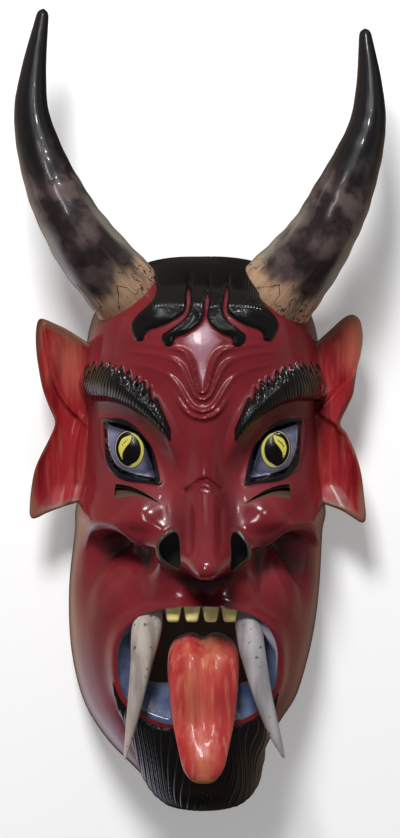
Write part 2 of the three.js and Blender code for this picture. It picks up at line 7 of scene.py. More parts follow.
import bpy
import numpy as np
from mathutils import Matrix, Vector


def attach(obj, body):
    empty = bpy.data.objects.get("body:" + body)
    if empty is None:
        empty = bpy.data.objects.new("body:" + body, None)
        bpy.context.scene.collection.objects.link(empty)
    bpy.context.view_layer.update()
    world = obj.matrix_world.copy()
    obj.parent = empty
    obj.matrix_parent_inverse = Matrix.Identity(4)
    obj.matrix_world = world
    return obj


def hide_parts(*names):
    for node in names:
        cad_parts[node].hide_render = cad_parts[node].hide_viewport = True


FRAME_SHIFT = np.array([1.571, -6.038, 0.0])  # from the mask's midline to the frame's origin
MILLIMETRE = 0.001

# Plain form of the wooden face
CROWN_Y = 114.0
BROW_Y = 34.0
CHIN_Y = -240.0
BEARD_TIP_Y = -273.0
CROWN_ROUNDNESS = 2.6
CHIN_ROUNDNESS = 5.0
SECTION_ROUNDNESS = 2.7
WALL = 11.0
HOLLOW_RIM = 2.0  # least height of the hollow beside its rim
HOLLOW_BELOW = 5.0  # how far the hollow's cutter reaches below the rim
CARVED_FROM = (2, 30)  # heights between which the carving comes in
# Level, half-width on the left and on the right, and depth
JAW_LEVELS = [
    [34, 84, 84, 97],
    [-40, 86, 84.5, 96],
    [-80, 91.5, 86, 95.5],
    [-115, 95.5, 84.5, 95],
    [-150, 95.5, 80, 93],
    [-175, 92.5, 74.5, 91],
    [-198, 86.5, 67, 88],
    [-214, 78.5, 56.5, 87],
    [-230, 66.5, 47.5, 85.5],
    [-245, 51, 42, 83],
    [-258, 39, 38.5, 78],
    [-273, 33, 35, 70],
]

# Broad forms: place beside the midline, level, reach sideways, up and down, rise, tilt in degrees
FORMS = {
    "glabella": (0, 8, 16, 22, 24, 5, 0),
    "eye socket": (46, -23, 29, 17, 17, -12, 45),
    "cheek apple": (41, -69, 17, 20, 11, 12, 0),
    "cheekbone": (68, -66, 20, 18, 9, 6, 0),
    "cheek hollow": (62, -94, 19, 10, 20, -5, 0),
    "muzzle": (0, -112, 48, 24, 42, 9, 0),
    "philtrum": (0, -119, 7, 9, 9, -4, 0),
    "under the nose": (0, -111, 21, 5, 10, -6, 0),
    "nostril wing": (26, -85, 9, 12, 12, 9, 0),
}
# Lower edge of the cheek, with a deep hollow under it
CHEEK_EDGE = [
    [26, -84], [31.4, -85.9], [38.2, -86.5], [45, -85.5], [52.4, -79.8], [57.8, -77.7],
    [67.3, -77.1], [75, -79.5], [81, -86], [90, -98],
]
CHEEK_SHELF = Sizes(drop=17, reach=27, edge=(-1.0, 2.6), lip=3.0, lip_reach=4.5)
CHEEK_SPAN = Sizes(inner=(27, 42), outer=(68, 86))
# Groove from the cheek's hollow down beside the muzzle, drawn for a face of the given half-width
CHEEK_FOLD = Sizes(
    path=[[62, -84], [73, -92], [78, -107], [79, -126], [77, -148]],
    half_width=92, depth=5.0, reach=6.5, fade=(0.45, 1.0),
)
BROW_RIDGE = Sizes(rise=6, reach=11, start=10, end=26)
BROW_ARCH = Sizes(out=72, y=26, bend=0.0155)

# Nose: level, rise above the cheeks and half-width
NOSE_LEVELS = [
    [14, 0, 9],
    [-20, 7, 9],
    [-42, 12.5, 10],
    [-49, 17, 10.5],
    [-76, 35.8, 13.6],
    [-88, 45.2, 15.8],
    [-94, 47, 14.8],
    [-99, 44, 12.4],
    [-103, 34, 9],
    [-108, 0, 5.5],
]
NOSE_X = 2.0
NOSE_SQUARENESS = 3.2
NOSE_OVERHANG = 0.08
NOSE_FLUTE = Sizes(out=9.8, reach=1.9, depth=3.4, top=(-56, -66), bottom=(-92, -84))
NOSE_CREASE = [[-11.5, -48.5], [-1.5, -41.5], [3, -40.8], [12.5, -47.5]]
CREASE_CUT = Sizes(depth=2.6, half=1.3)
CREASE_CREST = Sizes(rise=2.0, below=2.8, half=1.7, end_half=1.5)

# Eyes: upper and lower edge of the painted white and of the black line round it, from the outer corner
EYE_WHITE = Sizes(
    over=[
        [65.4, -3.4], [56.8, -6.4], [49.3, -8.8], [44.2, -11.5], [39.1, -19], [35.7, -29.2],
        [32, -40.3],
    ],
    under=[
        [65.4, -3.4], [65.4, -8.9], [64.5, -19.7], [61.5, -27.9], [57.8, -32.9], [51, -36.3],
        [42.5, -38.4], [32, -40.3],
    ],
)
EYE_LINE = Sizes(
    over=[
        [67.6, 0.7], [56.1, 0.3], [45.6, -4.8], [37.4, -13.9], [32.3, -24.1], [27.5, -45.6],
    ],
    under=[
        [67.6, 0.7], [66.6, -19], [64.5, -30.9], [59.5, -39.1], [51, -42.8], [37.4, -44.1],
        [27.5, -45.6],
    ],
)
EYE_BALL = Sizes(out=48, y=-22, z=54, radius=33, sink=3, edge=0.6)
EYE_LID = Sizes(rise=1.8, out=3.4, half=2.2)
IRIS = Sizes(out=50, y=-20.6, wide=9.9, high=12.8, tilt=6, ring=2.0, thin_ring=0.7)
# The leaf in the iris and its vein, from the iris's middle outwards and up
LEAF = Sizes(
    outer=[[-2, 10], [4.5, 7.6], [7, 3.2], [7.4, -0.2], [6.2, -4.6], [3.5, -9.7]],
    inner=[[-2, 10], [-0.6, 4.9], [2.4, 1.2], [4.5, -2.9], [4.5, -6], [3.5, -9.7]],
)
LEAF_VEIN = [[1.4, 6.3], [3.8, 4.2], [5.5, 1.5]]
VEIN_HALF = 0.45
SLIT = Sizes(
    outer=[60, -44.5], inner=[28.5, -57.5], over=[45, -44], under=[44, -50], foot=[60, -54.5],
)
SLIT_NARROWING = 0.7
SLIT_CUT = Sizes(bottom=30, past_wall=3, over=2, top=90)
NOSTRILS = {
    "left": [
        [-29.4, -86], [-26.5, -80.5], [-19.5, -76], [-16, -79], [-15, -90], [-15, -100.5],
        [-20.5, -99], [-27.2, -93.5],
    ],
    "right": [
        [19, -79], [22.5, -76], [29, -83.5], [30.2, -92], [26.5, -97], [19, -101.5], [19, -90],
    ],
}
NOSTRIL_FLOOR = 91.0
NOSTRIL_TOP = 190.0
NOSTRIL_RIM = Sizes(outer=(16, 20), rise=1.4, wide=2.6, out=1.5, half=1.2, hidden=20)

# Mouth: the lip's edge, the throat behind it and the teeth
LIP = Sizes(x=-3.4, y=-166, wide=54.5, up=39.5, down=42.5, roundness=2.5)
THROAT = Sizes(x=-2, y=-157, wide=44, up=29, down=24, roundness=2.5)
# The inner lip, from its ledge down to the throat, and both ends of the cutter
LIP_DEPTH = 12.0
LIP_LEDGE = 2.0
LIP_DISH = 1.35
MOUTH_BACK = -2.0
MOUTH_TOP = Sizes(grow=8, over=45)
LIP_ROLL = Sizes(rise=4.5, reach=6)
TEETH = Sizes(
    count=4, x=-0.8, pitch=12.8, top=13.2, foot=8.0, y=-126, root=2.5, drop=11.5,
    front=99.5, thick=9, squareness=0.5, round_from=0.86, foot_wide=0.82, foot_thick=0.55,
)

# Carved hair, brows, wrinkles and beard
HAIR_RISE = 3.0
HAIR_EDGE = 1.3
HAIR_MIDLINE = Sizes(x=0.3, y=50, lean=0.09)
# Outline of each lock beside the hair's midline
HAIR_LOCKS = [
    [
        [-1, 104], [-0.6, 90], [1.4, 80], [0.8, 70], [4, 63.7], [12.2, 57.6], [18.7, 54.9],
        [20.3, 50.4], [24.3, 49.2], [28.3, 52.9], [27.7, 57.6], [21.9, 61.7], [14.4, 67.8],
        [11.4, 75], [11.8, 84], [13.2, 92], [14, 104],
    ],
    [
        [13, 104], [13, 92], [14.2, 84], [13.9, 74], [17.9, 69.2], [27, 63.7], [36.8, 60.3],
        [39.9, 57], [41, 53.5], [45.9, 53.8], [49.2, 59.5], [49.8, 65.1], [45.8, 71.8],
        [40.2, 77.4], [35.8, 83.6], [36, 92], [42, 104],
    ],
]
HAIR_CAP = Sizes(y=98.0, reach=46)
STRAND_PITCH = 1.9
COMBING = {"hair": 0.8, "brow": 1.1, "beard": 1.5}
HAIR_GROOVE = Sizes(pitch=4.2, depth=0.55, out=12.8, turn_y=74, turn=1.1)
BROW = Sizes(
    start=21.5, end=82.5, rise=3.0, edge=1.1, tip_pitch=5.0, notch=11.0, lean=0.18,
    strand=2.4, ridge=0.28, wander=0.6,
)
# Reach sideways of the painted sheen on the strands at the brows' outer ends.
BROW_SHEEN = (58, 74)
# How fast the distance to each edge grows, since the edges run aslant
BROW_FALL = Sizes(tips=0.55, inner=0.4, foot=0.85)
BROW_FOOT = Sizes(out=70, y=12.8, bend=0.0122)
BROW_TIPS = Sizes(out=70, y=41.4, bend=0.0147)
BROW_SLOPE = Sizes(out=33, y=20.5, rate=2.4)
WRINKLES = Sizes(rise=3.0, half=1.6, slope=0.13, bend=3.4, fade=14, calm=0.17, calming=(5, 27))
# Each fold: level at the sides, dip in the middle, half-width of the dip, reach sideways
WRINKLE_FOLDS = [[46, 28, 6.2, 50], [40, 26.5, 10.6, 56], [31.5, 26.3, 15.4, 54], [29, 28.5, 19.5, 26]]
# Outline of a painted highlight on the forehead: a pale lilac diamond that stands in for a lamp's
# reflection.
DIAMOND_HIGHLIGHT = [
    [3.7, 69.7], [-2.4, 62.3], [-11.2, 56.2], [-15.2, 52.1], [-9.8, 46.7], [-5, 38.6], [-3, 27.8],
    [-0.3, 19.6], [2.4, 27.8], [4.4, 38.6], [8.5, 46.7], [14.6, 52.8], [9.1, 58.2], [5.8, 63.6],
]
BEARD = Sizes(
    rise=5.5, edge=1.8, spread=45, close=34, top=-212, bottom=-273.5, foot=-257,
    thinning=-250, thinned=0.5, strand=3.6, ridge=0.35, from_lip=3.2, lip_reach=45,
)
BEARD_WANDER = Sizes(reach=2.2, down=13.0, across=4.5)
BEARD_EDGE = [
    [-62, -181], [-58, -200], [-51, -214], [-46, -231], [-40, -249], [-33, -263], [-24, -270.5],
    [0, -275], [26, -270.5], [34, -264], [39, -254], [42, -236], [44, -213], [50, -198],
    [52.5, -186], [40, -180], [-40, -180],
]

# Horns, ears, tusks and tongue
HORN_TIP = 0.982  # share of the length from which the tip is rounded
# Each point of a horn or a tusk: place sideways, level, height, radius
HORN_LINES = {
    "left": [
        [-45.5, 77, 34, 25],
        [-53, 88, 55, 25.6],
        [-82.4, 122.5, 78, 22.4],
        [-104, 161.7, 80, 18.2],
        [-116.8, 204.3, 76, 12.8],
        [-116.7, 238, 70, 9],
        [-110.5, 285, 60, 3.8],
    ],
    "right": [
        [43, 77, 34, 25],
        [53, 88.4, 55, 28.4],
        [78.3, 120.1, 78, 23.4],
        [97.2, 156.5, 80, 19.8],
        [112, 196.1, 76, 13.6],
        [115.2, 227.5, 70, 9.4],
        [112.8, 271.2, 60, 3.8],
    ],
}
# Outline of each ear from the top of its root round the two lobes to the bottom of its root
EAR_EDGES = {
    "left": [
        [78, 52], [93.5, 62.1], [102.7, 66.7], [111.2, 70.2], [114.8, 70], [116.5, 66], [117.2, 56],
        [116.1, 41.7], [112.6, 21.9], [107.7, 7.8], [103.8, -2.1], [107, -12], [113.3, -24.7],
        [117.9, -36], [120.4, -50.1], [121.4, -62.8], [120.8, -68.5], [117.6, -69.9],
        [108.4, -65.7], [94.6, -60.7], [76, -56],
    ],
    "right": [
        [78, 52], [90, 62.8], [97.8, 69.9], [102.7, 73], [107, 73], [111, 68.5], [112.6, 57.2],
        [111.2, 45.9], [108.4, 34], [106, 18], [102, 8.5], [97, -3.1], [101.3, -9.9], [107, -22.6],
        [111.2, -36.7], [113.3, -52.2], [114.7, -67], [113.6, -72.4], [110.5, -72.4],
        [105.5, -69.2], [95.7, -63.5], [76, -57],
    ],
}
EAR_ROOT = Sizes(x=72, top=46, bottom=-52, z=34)
EAR_BEHIND = [52, -5]  # closes the outline behind the root
EAR_THICK = Sizes(root=10, edge=4, rounding=2.6, thinning=0.995)
EAR_FLARE = 8.0
EAR_BOWL = Sizes(rim=4, depth=6.5, reach=9.0, fade=(-74, -44), root=(0, 0.3))
EAR_PAINT = Sizes(upper=(5, 45), top_end=(40, 60), bottom_end=(-46, -60))
EAR_FOLD = Sizes(crest=1.9, soft=1.5, reach=14, root=(0.02, 0.12), rim=(0, 3))
# Ridges, each with the height of its crest and the drop behind it
EAR_RIDGES = {
    "left": [
        ([[112, 66], [109.1, 45.9], [104.1, 25.4], [97.8, 12.7], [90.7, 4.2]], 3.2, 3.0),
        ([[86, 2], [90, -16.2], [92.8, -42.4], [95, -59]], 1.7, 1.2),
    ],
    "right": [
        ([[111, 36], [103, 28.6], [93.5, 19.5], [84, 9]], 1.6, -6.0),
        ([[84, 2], [92, -3], [101, -12], [107, -26]], 1.2, -3.0),
    ],
}
TUSK_LINES = {
    "left": [
        [-35, -122, 82, 8],
        [-38, -142, 92, 10],
        [-41.2, -164, 99, 7.6],
        [-45, -188, 104, 5.4],
        [-49, -211, 106, 3.2],
        [-52.6, -229, 106, 0.9],
    ],
    "right": [
        [28, -122, 82, 7.5],
        [32.4, -150, 95, 8.8],
        [35.7, -166, 99, 8],
        [41, -188, 104, 6.4],
        [47.5, -209, 106, 4.4],
        [54.9, -228, 106, 0.9],
    ],
}
# Each point: level, height, half-width, half-thickness
TONGUE_LINE = [
    [-165, 62, 21, 17],
    [-163, 79, 23.5, 16.5],
    [-167, 92, 24.3, 13],
    [-182, 99.5, 23.5, 8.5],
    [-204, 100.5, 21, 6.3],
    [-222, 108.5, 17, 5.6],
    [-233, 112.3, 14.2, 5],
    [-240, 112.3, 10, 4],
    [-243, 110.5, 5, 2.4],
]
TONGUE_X = 0.5
TONGUE_GROOVE = Sizes(depth=4.2, half=4.2, fade=(0.3, 0.66))
TONGUE_SQUARENESS = 0.75

# Fineness of the face's grid: level and wanted spacing of rows, and columns from rim to rim
ROW_SPACING = [
    [-280, 1.8], [-245, 1.3], [-200, 1.45], [-130, 1.2], [-62, 0.95], [34, 0.9], [72, 1.05],
    [92, 1.7], [114, 2.6],
]
FACE_COLUMNS = 204
FACE_CROWDING = Sizes(more=0.9, fade=(48, 80))

# Camera and room
CAMERA_PLACE = [-0.181, -6.038, 1500.0]
CAMERA_LENS = 89.0
# The floor glows a little, so that shadows stay pale, but not under the mask's hollow
FLOOR_GLOW = 0.22
FLOOR_SHADE = Sizes(middle=(0, -84, 0), reach=(84, 180, 100))

# Brightness of the room behind the crown and before the chin, from below the floor to overhead
ROOM_STOPS = [
    (0.0, (0.05, 0.045, 0.04)),
    (0.49, (0.08, 0.075, 0.065)),
    (0.54, (0.34, 0.33, 0.3)),
    (0.75, (0.15, 0.14, 0.14)),
    (1.0, (0.06, 0.06, 0.065)),
]
FRONT_STOPS = [
    (0.0, (0.02, 0.017, 0.015)),
    (0.5, (0.04, 0.035, 0.03)),
    (0.58, (0.1, 0.085, 0.075)),
    (1.0, (0.06, 0.06, 0.065)),
]
# Brightness low on the right and low on the left, from behind the crown to before the chin
SIDE_STOPS = [(0.0, (0.05, 0.04, 0.035)), (0.4, (0.36, 0.26, 0.19)), (1.0, (0.04, 0.035, 0.03))]
PATCH_STOPS = [
    (0.0, (0.3, 0.22, 0.17)),
    (0.4, (0.9, 0.72, 0.56)),
    (0.58, (1.15, 1.05, 1.15)),
    (0.75, (1.4, 1.4, 1.65)),
    (0.9, (0.35, 0.35, 0.4)),
    (1.0, (0.04, 0.035, 0.03)),
]
# Directions between which each part of the room comes in, along its axis
SKY = Sizes(low=(0.25, -0.3), front=(0.1, -0.4), beside=(0.2, 0.6), along=(0.3, -0.8))
# Name, place, aim, size, power in watts, and the surfaces that show the light
LIGHTS = [
    ("soft key", (-300, 1300, 1500), (0, -40, 40), (500, 500), 44, "matt"),
    ("front", (60, -1200, 1500), (0, -40, 40), (500, 400), 4, "matt"),
    ("tall lamp", (-40, 760, 1500), (0, 0, 60), (50, 620), 3.0, "gloss"),
    ("low lamp", (60, 1600, 1150), (0, 0, 60), (240, 100), 3.8, "gloss"),
    ("small lamp", (420, 1250, 1250), (0, 0, 60), (50, 50), 2, "gloss"),
]
FLOOR_REACH = 4000.0
COAT_ROUGHNESS = 0.04

# Paints, as display values from 0 to 255
COLOURS = {
    # The dark of the hollows is painted shade, and the pale diamond is a painted highlight.
    "red": (104, 27, 34), "bright red": (120, 34, 41), "shaded_recess": (26, 8, 9), "diamond_highlight": (190, 150, 168),
    # The pale tan of the brows' strands is a painted sheen.
    "hair": (10, 9, 9), "strand sheen": (112, 98, 80), "nostril rim": (52, 56, 44), "nostril": (30, 31, 24),
    "slate": (62, 74, 106), "pale slate": (92, 104, 134), "throat": (52, 36, 26), "slit": (84, 64, 52),
    "wood": (92, 66, 44), "pale wood": (132, 98, 66),
    "eye line": (9, 9, 13), "eye white": (84, 86, 112), "pale eye white": (116, 116, 140),
    # The pale line round the white is a painted highlight, and the dark band under the lid is a painted
    # shadow.
    "eye rim highlight": (150, 150, 168), "lid shadow": (26, 28, 46), "iris edge": (10, 10, 12),
    "outer ring": (150, 140, 120), "inner ring": (190, 184, 92), "pupil": (9, 8, 9),
    "leaf": (196, 190, 84), "vein": (24, 24, 10),
    "horn": (34, 25, 26), "pale horn": (88, 74, 72), "horn patch": (30, 22, 23),
    # The pale grey at the horns' sides is a painted sheen.
    "horn streak": (120, 110, 106), "horn edge sheen": (142, 136, 122), "horn base": (160, 126, 100),
    "pale horn base": (184, 152, 124), "horn crack": (40, 30, 26), "horn tip": (15, 14, 18),
    "ear": (112, 16, 24), "bright ear": (148, 34, 40), "ear streak": (164, 82, 70),
    "ear tan": (180, 100, 80), "ear wear": (118, 90, 72),
    "tongue": (164, 46, 48), "bright tongue": (184, 72, 64), "tongue streak": (200, 122, 100),
    "tongue ochre": (196, 126, 92), "tongue rim": (146, 110, 50),
    "left tusk": (138, 128, 120), "pale left tusk": (182, 171, 163), "right tusk": (130, 126, 129),
    "pale right tusk": (170, 165, 168), "tusk stain": (92, 84, 80), "tusk speck": (52, 46, 42),
    "tooth": (222, 202, 122), "pale tooth": (244, 230, 164), "floor": (236, 236, 236),
}
PAINT_ZONES = [
    "black", "line", "white", "iris", "inner", "leaf", "vein", "lip", "bare", "pit", "strand",
    "shaded_recess", "diamond_highlight", "nostril", "worn", "combed", "lid",
]
OUTSIDE = -50.0  # paint distance of a point that a zone doesn't reach
ON_CUT = (-20.0, 0.5)  # paint distances from off a cut wall to on it


# Small maths
def ease(start, end, value):
    share = np.clip((value - start) / (end - start), 0, 1)
    return share * share * (3 - 2 * share)


def bell(value, reach):
    """A smooth hump: 1 at zero, and near nothing at twice the reach."""
    return np.exp(-((value / reach) ** 2))


def swell(inside, reach):
    """Share of a raised form's full height by the distance inside its outline."""
    return 1 - np.exp(-np.maximum(inside, 0) / reach)


def bulged(value, power):
    """A sine or cosine raised to a power, with its sign kept."""
    return np.sign(value) * np.abs(value) ** power


def around(sides):
    return np.linspace(0, 2 * math.pi, sides, endpoint=False)


def run_along(steps):
    """Length covered at each point, from the steps between the points."""
    return np.concatenate([[0], np.cumsum(steps)])


def unit(ways):
    return ways / np.linalg.norm(ways, axis=-1, keepdims=True)


def read_levels(rows, column, y):
    """A column of a table of falling levels, read with a smooth curve through its rows."""
    rows = np.asarray(rows, float)
    level, value = rows[:, 0], rows[:, column]
    slope = np.gradient(value, level)
    slope[1:-1] = (value[2:] - value[:-2]) / (level[2:] - level[:-2])
    y = np.clip(y, level[-1], level[0])
    i = np.clip(np.searchsorted(-level, -y, side="right") - 1, 0, len(level) - 2)
    span = level[i + 1] - level[i]
    t = (y - level[i]) / span
    rest = 1 - t
    start = rest * rest * ((1 + 2 * t) * value[i] + t * slope[i] * span)
    end = t * t * ((3 - 2 * t) * value[i + 1] - rest * slope[i + 1] * span)
    return start + end


def smooth_path(points, steps):
    """Evenly counted points on a smooth curve through the given ones."""
    points = np.asarray(points, float)
    padded = np.vstack([2 * points[0] - points[1], points, 2 * points[-1] - points[-2]])
    spans = len(points) - 1
    at = np.linspace(0, spans, steps + 1)
    i = np.minimum(at.astype(int), spans - 1)
    t = (at - i)[:, None]
    a, b, c, d = (padded[i + n] for n in range(4))
    return 0.5 * (2 * b + (c - a) * t + (2 * a - 5 * b + 4 * c - d) * t**2 + (3 * b - a - 3 * c + d) * t**3)


def path_distance(path, x, y):
    """Distance to a path of points, the signed distance beside it and the share of it that lies behind."""
    near = np.full(x.shape, 1e9)
    beside = np.zeros(x.shape)
    share = np.zeros(x.shape)
    spans = len(path) - 1
    for i in range(spans):
        (ax, ay), (bx, by) = path[i][:2], path[i + 1][:2]
        wx, wy = bx - ax, by - ay
        square = wx * wx + wy * wy + 1e-9
        t = np.clip(((x - ax) * wx + (y - ay) * wy) / square, 0, 1)
        dx, dy = x - ax - t * wx, y - ay - t * wy
        distance = np.hypot(dx, dy)
        closer = distance < near
        near = np.where(closer, distance, near)
        beside = np.where(closer, (wx * dy - wy * dx) / math.sqrt(square), beside)
        share = np.where(closer, (i + t) / spans, share)
    return near, beside, share


def outline_distance(outline, x, y):
    """Distance to a closed outline, above zero inside it."""
    closed = [*outline, outline[0]]
    near = path_distance(closed, x, y)[0]
    inside = np.zeros(x.shape, bool)
    for (ax, ay), (bx, by) in zip(closed[:-1], closed[1:]):
        crosses = (ay > y) != (by > y)
        rise = by - ay if by != ay else 1e-9
        inside ^= crosses & (x < ax + (y - ay) / rise * (bx - ax))
    return np.where(inside, near, -near)


def bent_edge(start, via, end, steps):
    t = np.linspace(0, 1, steps + 1)[:, None]
    start, via, end = (np.asarray(p, float) for p in (start, via, end))
    return (1 - t) ** 2 * start + 2 * t * (1 - t) * via + t**2 * end


def slit_outline(steps, narrowing):
    """Outline of an eye slit, blunt at its outer end, with its lower edge drawn up by a share."""
    upper = bent_edge(SLIT.outer, SLIT.over, SLIT.inner, steps)
    lower = bent_edge(SLIT.inner, SLIT.under, SLIT.foot, steps)
    lower = lower + narrowing * (upper[::-1] - lower)
    return np.vstack([upper, lower[1:]])


def between(first, second, steps):
    """Closed outline of two smooth edges that share both ends."""
    return np.vstack([smooth_path(first, steps), smooth_path(second, steps)[::-1][1:-1]])


def closed_path(points, steps):
    """Smooth closed outline through the given points."""
    ring = smooth_path([*points[-3:], *points, *points[:3]], steps * (len(points) + 5))
    return ring[3 * steps:(3 + len(points)) * steps]


def oval_point(oval, angle, grow=0.0):
    c, s = np.cos(angle), np.sin(angle)
    high = np.where(s > 0, oval.up, oval.down)
    power = 2 / oval.roundness
    x = oval.x + (oval.wide + grow) * bulged(c, power)
    y = oval.y + (high + grow) * bulged(s, power)
    return x, y


def oval_share(oval, x, y):
    """How far a point is from an oval's middle, with 1 on the edge."""
    dy = y - oval.y
    across = np.abs((x - oval.x) / oval.wide)
    along = np.abs(dy / np.where(dy > 0, oval.up, oval.down))
    return (across ** oval.roundness + along ** oval.roundness) ** (1 / oval.roundness)


def arch(curve, out):
    return curve.y - curve.bend * (curve.out - out) ** 2


# Plain egg form of the face
def closing(y):
    above = np.clip((y - BROW_Y) / (CROWN_Y - BROW_Y), 0, 1)
    below = np.clip((CHIN_Y - y) / (CHIN_Y - BEARD_TIP_Y), 0, 1)
    crown = (1 - above**CROWN_ROUNDNESS) ** (1 / CROWN_ROUNDNESS)
    return crown * (1 - below**CHIN_ROUNDNESS) ** (1 / CHIN_ROUNDNESS)


def half_width(y, x, inset=0.0):
    wide = np.where(x < 0, read_levels(JAW_LEVELS, 1, y), read_levels(JAW_LEVELS, 2, y))
    return (wide - inset) * closing(y)


def depth(y, inset=0.0):
    return (read_levels(JAW_LEVELS, 3, y) - inset) * closing(y)


def outward(x, y, z):
    """Outward direction of the egg form at points on it."""
    def level(px, py, pz):
        across = np.abs(px / np.maximum(half_width(py, x), 1e-3)) ** SECTION_ROUNDNESS
        return across + np.abs(pz / np.maximum(depth(py), 1e-3)) ** SECTION_ROUNDNESS
    h = 0.05
    slope = np.stack([
        level(x + h, y, z) - level(x - h, y, z),
        level(x, y + h, z) - level(x, y - h, z),
        level(x, y, z + h) - level(x, y, np.maximum(0, z - h)),
    ], axis=-1)
    return slope / np.maximum(np.linalg.norm(slope, axis=-1, keepdims=True), 1e-12)


def egg_height(x, y):
    share = np.minimum(1, np.abs(x / half_width(y, x)))
    return depth(y) * (1 - share**SECTION_ROUNDNESS) ** (1 / SECTION_ROUNDNESS)


# Broad carving, the same as the solid's
def hill(form, out, y):
    place, level, wide, up, down, rise, tilt = form
    turn = math.radians(tilt)
    dx, dy = out - place, y - level
    along = dx * math.cos(turn) + dy * math.sin(turn)
    across = dy * math.cos(turn) - dx * math.sin(turn)
    return rise * bell(along, wide) * bell(across, np.where(across > 0, up, down))


def nose_rise(x, y):
    beside = np.abs((x - NOSE_X) / read_levels(NOSE_LEVELS, 2, y))
    return read_levels(NOSE_LEVELS, 1, y) / (1 + beside**NOSE_SQUARENESS)


def cheek_shelf(out, y):
    """The hollow right under the cheek's edge, and the slight swelling above it."""
    edge = smooth_path(CHEEK_EDGE, 60)
    below = np.interp(out, edge[:, 0], edge[:, 1]) - y
    side = ease(*CHEEK_SPAN.inner, out) * (1 - ease(*CHEEK_SPAN.outer, out))
    drop = ease(*CHEEK_SHELF.edge, below) * bell(np.maximum(below, 0), CHEEK_SHELF.reach)
    lip = bell(below + CHEEK_SHELF.lip_reach, CHEEK_SHELF.lip_reach)
    return side * (CHEEK_SHELF.lip * lip - CHEEK_SHELF.drop * drop)


def cheek_fold(x, y):
    out = CHEEK_FOLD.half_width * np.abs(x) / half_width(y, x)
    near, _, along = path_distance(smooth_path(CHEEK_FOLD.path, 24), out, y)
    return -CHEEK_FOLD.depth * bell(near, CHEEK_FOLD.reach) * (1 - ease(*CHEEK_FOLD.fade, along))


def relief(x, y):
    out = np.abs(x)
    rise = sum(hill(form, out, y) for form in FORMS.values()) + cheek_shelf(out, y) + cheek_fold(x, y)
    ridge = BROW_RIDGE.rise * ease(BROW_RIDGE.start, BROW_RIDGE.end, out)
    rise = rise + ridge * bell(y - arch(BROW_ARCH, out), BROW_RIDGE.reach)
    from_lip = (oval_share(LIP, x, y) - 1) * LIP.wide
    return rise + LIP_ROLL.rise * bell(from_lip, LIP_ROLL.reach) + nose_rise(x, y)


# Fine carving: each function gives paint distances, the rise it adds, or both
def hair(x, y):
    middle = HAIR_MIDLINE.x + HAIR_MIDLINE.lean * (y - HAIR_MIDLINE.y)
    out = np.abs(x - middle)
    inside = np.minimum(y - HAIR_CAP.y, HAIR_CAP.reach - out)
    for lock in HAIR_LOCKS:
        inside = np.maximum(inside, outline_distance(smooth_path(lock, 70), out, y))
    turned = HAIR_GROOVE.turn * np.maximum(0, HAIR_GROOVE.turn_y - y)
    strand = np.abs(out - HAIR_GROOVE.out - turned)
    grooves = HAIR_GROOVE.depth * np.cos(2 * math.pi * strand / HAIR_GROOVE.pitch) ** 4
    return inside, strand, np.sqrt(swell(inside, HAIR_EDGE)) * (HAIR_RISE - grooves)


def brow(x, y):
    out = np.abs(x)
    foot = arch(BROW_FOOT, out)
    strand = out + BROW.lean * (y - foot) + BROW.wander * np.sin(y / 4 + out / 6)
    phase = (strand - BROW.start) / BROW.tip_pitch
    uneven = 0.75 + 0.25 * np.sin(2.4 * np.floor(phase) + 1)
    notch = BROW.notch * uneven * np.abs(2 * (phase % 1) - 1) ** 0.95
    top = arch(BROW_TIPS, out) - notch
    inner_edge = BROW_SLOPE.y + BROW_SLOPE.rate * (out - BROW_SLOPE.out)
    under_top = np.minimum((top - y) * BROW_FALL.tips, (inner_edge - y) * BROW_FALL.inner)
    ends = np.minimum(out - BROW.start, BROW.end - out)
    inside = np.minimum(np.minimum(under_top, (y - foot) * BROW_FALL.foot), ends)
    ridges = BROW.ridge * np.cos(2 * math.pi * strand / BROW.strand)
    return inside, strand, swell(inside, BROW.edge) * (BROW.rise + ridges)


def wrinkles(x, y):
    out = np.abs(x)
    side = np.linspace(0, 60, 61)
    rise = np.zeros(x.shape)
    for level, dip, half, reach in WRINKLE_FOLDS:
        line = level + WRINKLES.slope * side - dip / (1 + (side / half) ** WRINKLES.bend)
        near = path_distance(np.column_stack([side, line]), out, y)[0]
        fold = bell(near, WRINKLES.half) * (1 - ease(reach - WRINKLES.fade, reach, out))
        rise = np.maximum(rise, fold)
    calm = 1 - (1 - WRINKLES.calm) * ease(*WRINKLES.calming, out)
    return WRINKLES.rise * rise * calm


def beard(x, y):
    below_lip = (oval_share(LIP, x, y) - 1) * BEARD.lip_reach - BEARD.from_lip
    inside = np.minimum(outline_distance(BEARD_EDGE, x, y), below_lip)
    down = np.clip((BEARD.top - y) / (BEARD.top - BEARD.bottom), -0.6, 1)
    strand = BEARD.spread * x / (BEARD.spread + (BEARD.close - BEARD.spread) * down)
    wave = np.sin(y / BEARD_WANDER.down + x / BEARD_WANDER.across)
    strand = strand + BEARD_WANDER.reach * wave
    at_tip = 1 - 0.8 * np.maximum(down, 0) ** 5
    ridges = BEARD.ridge * np.cos(2 * math.pi * strand / BEARD.strand) * at_tip
    thinner = 1 - BEARD.thinned * ease(BEARD.thinning, BEARD.bottom, y)
    rise = swell(inside, BEARD.edge) * (BEARD.rise * thinner + ridges)
    return np.maximum(inside, BEARD.foot - y), strand, rise


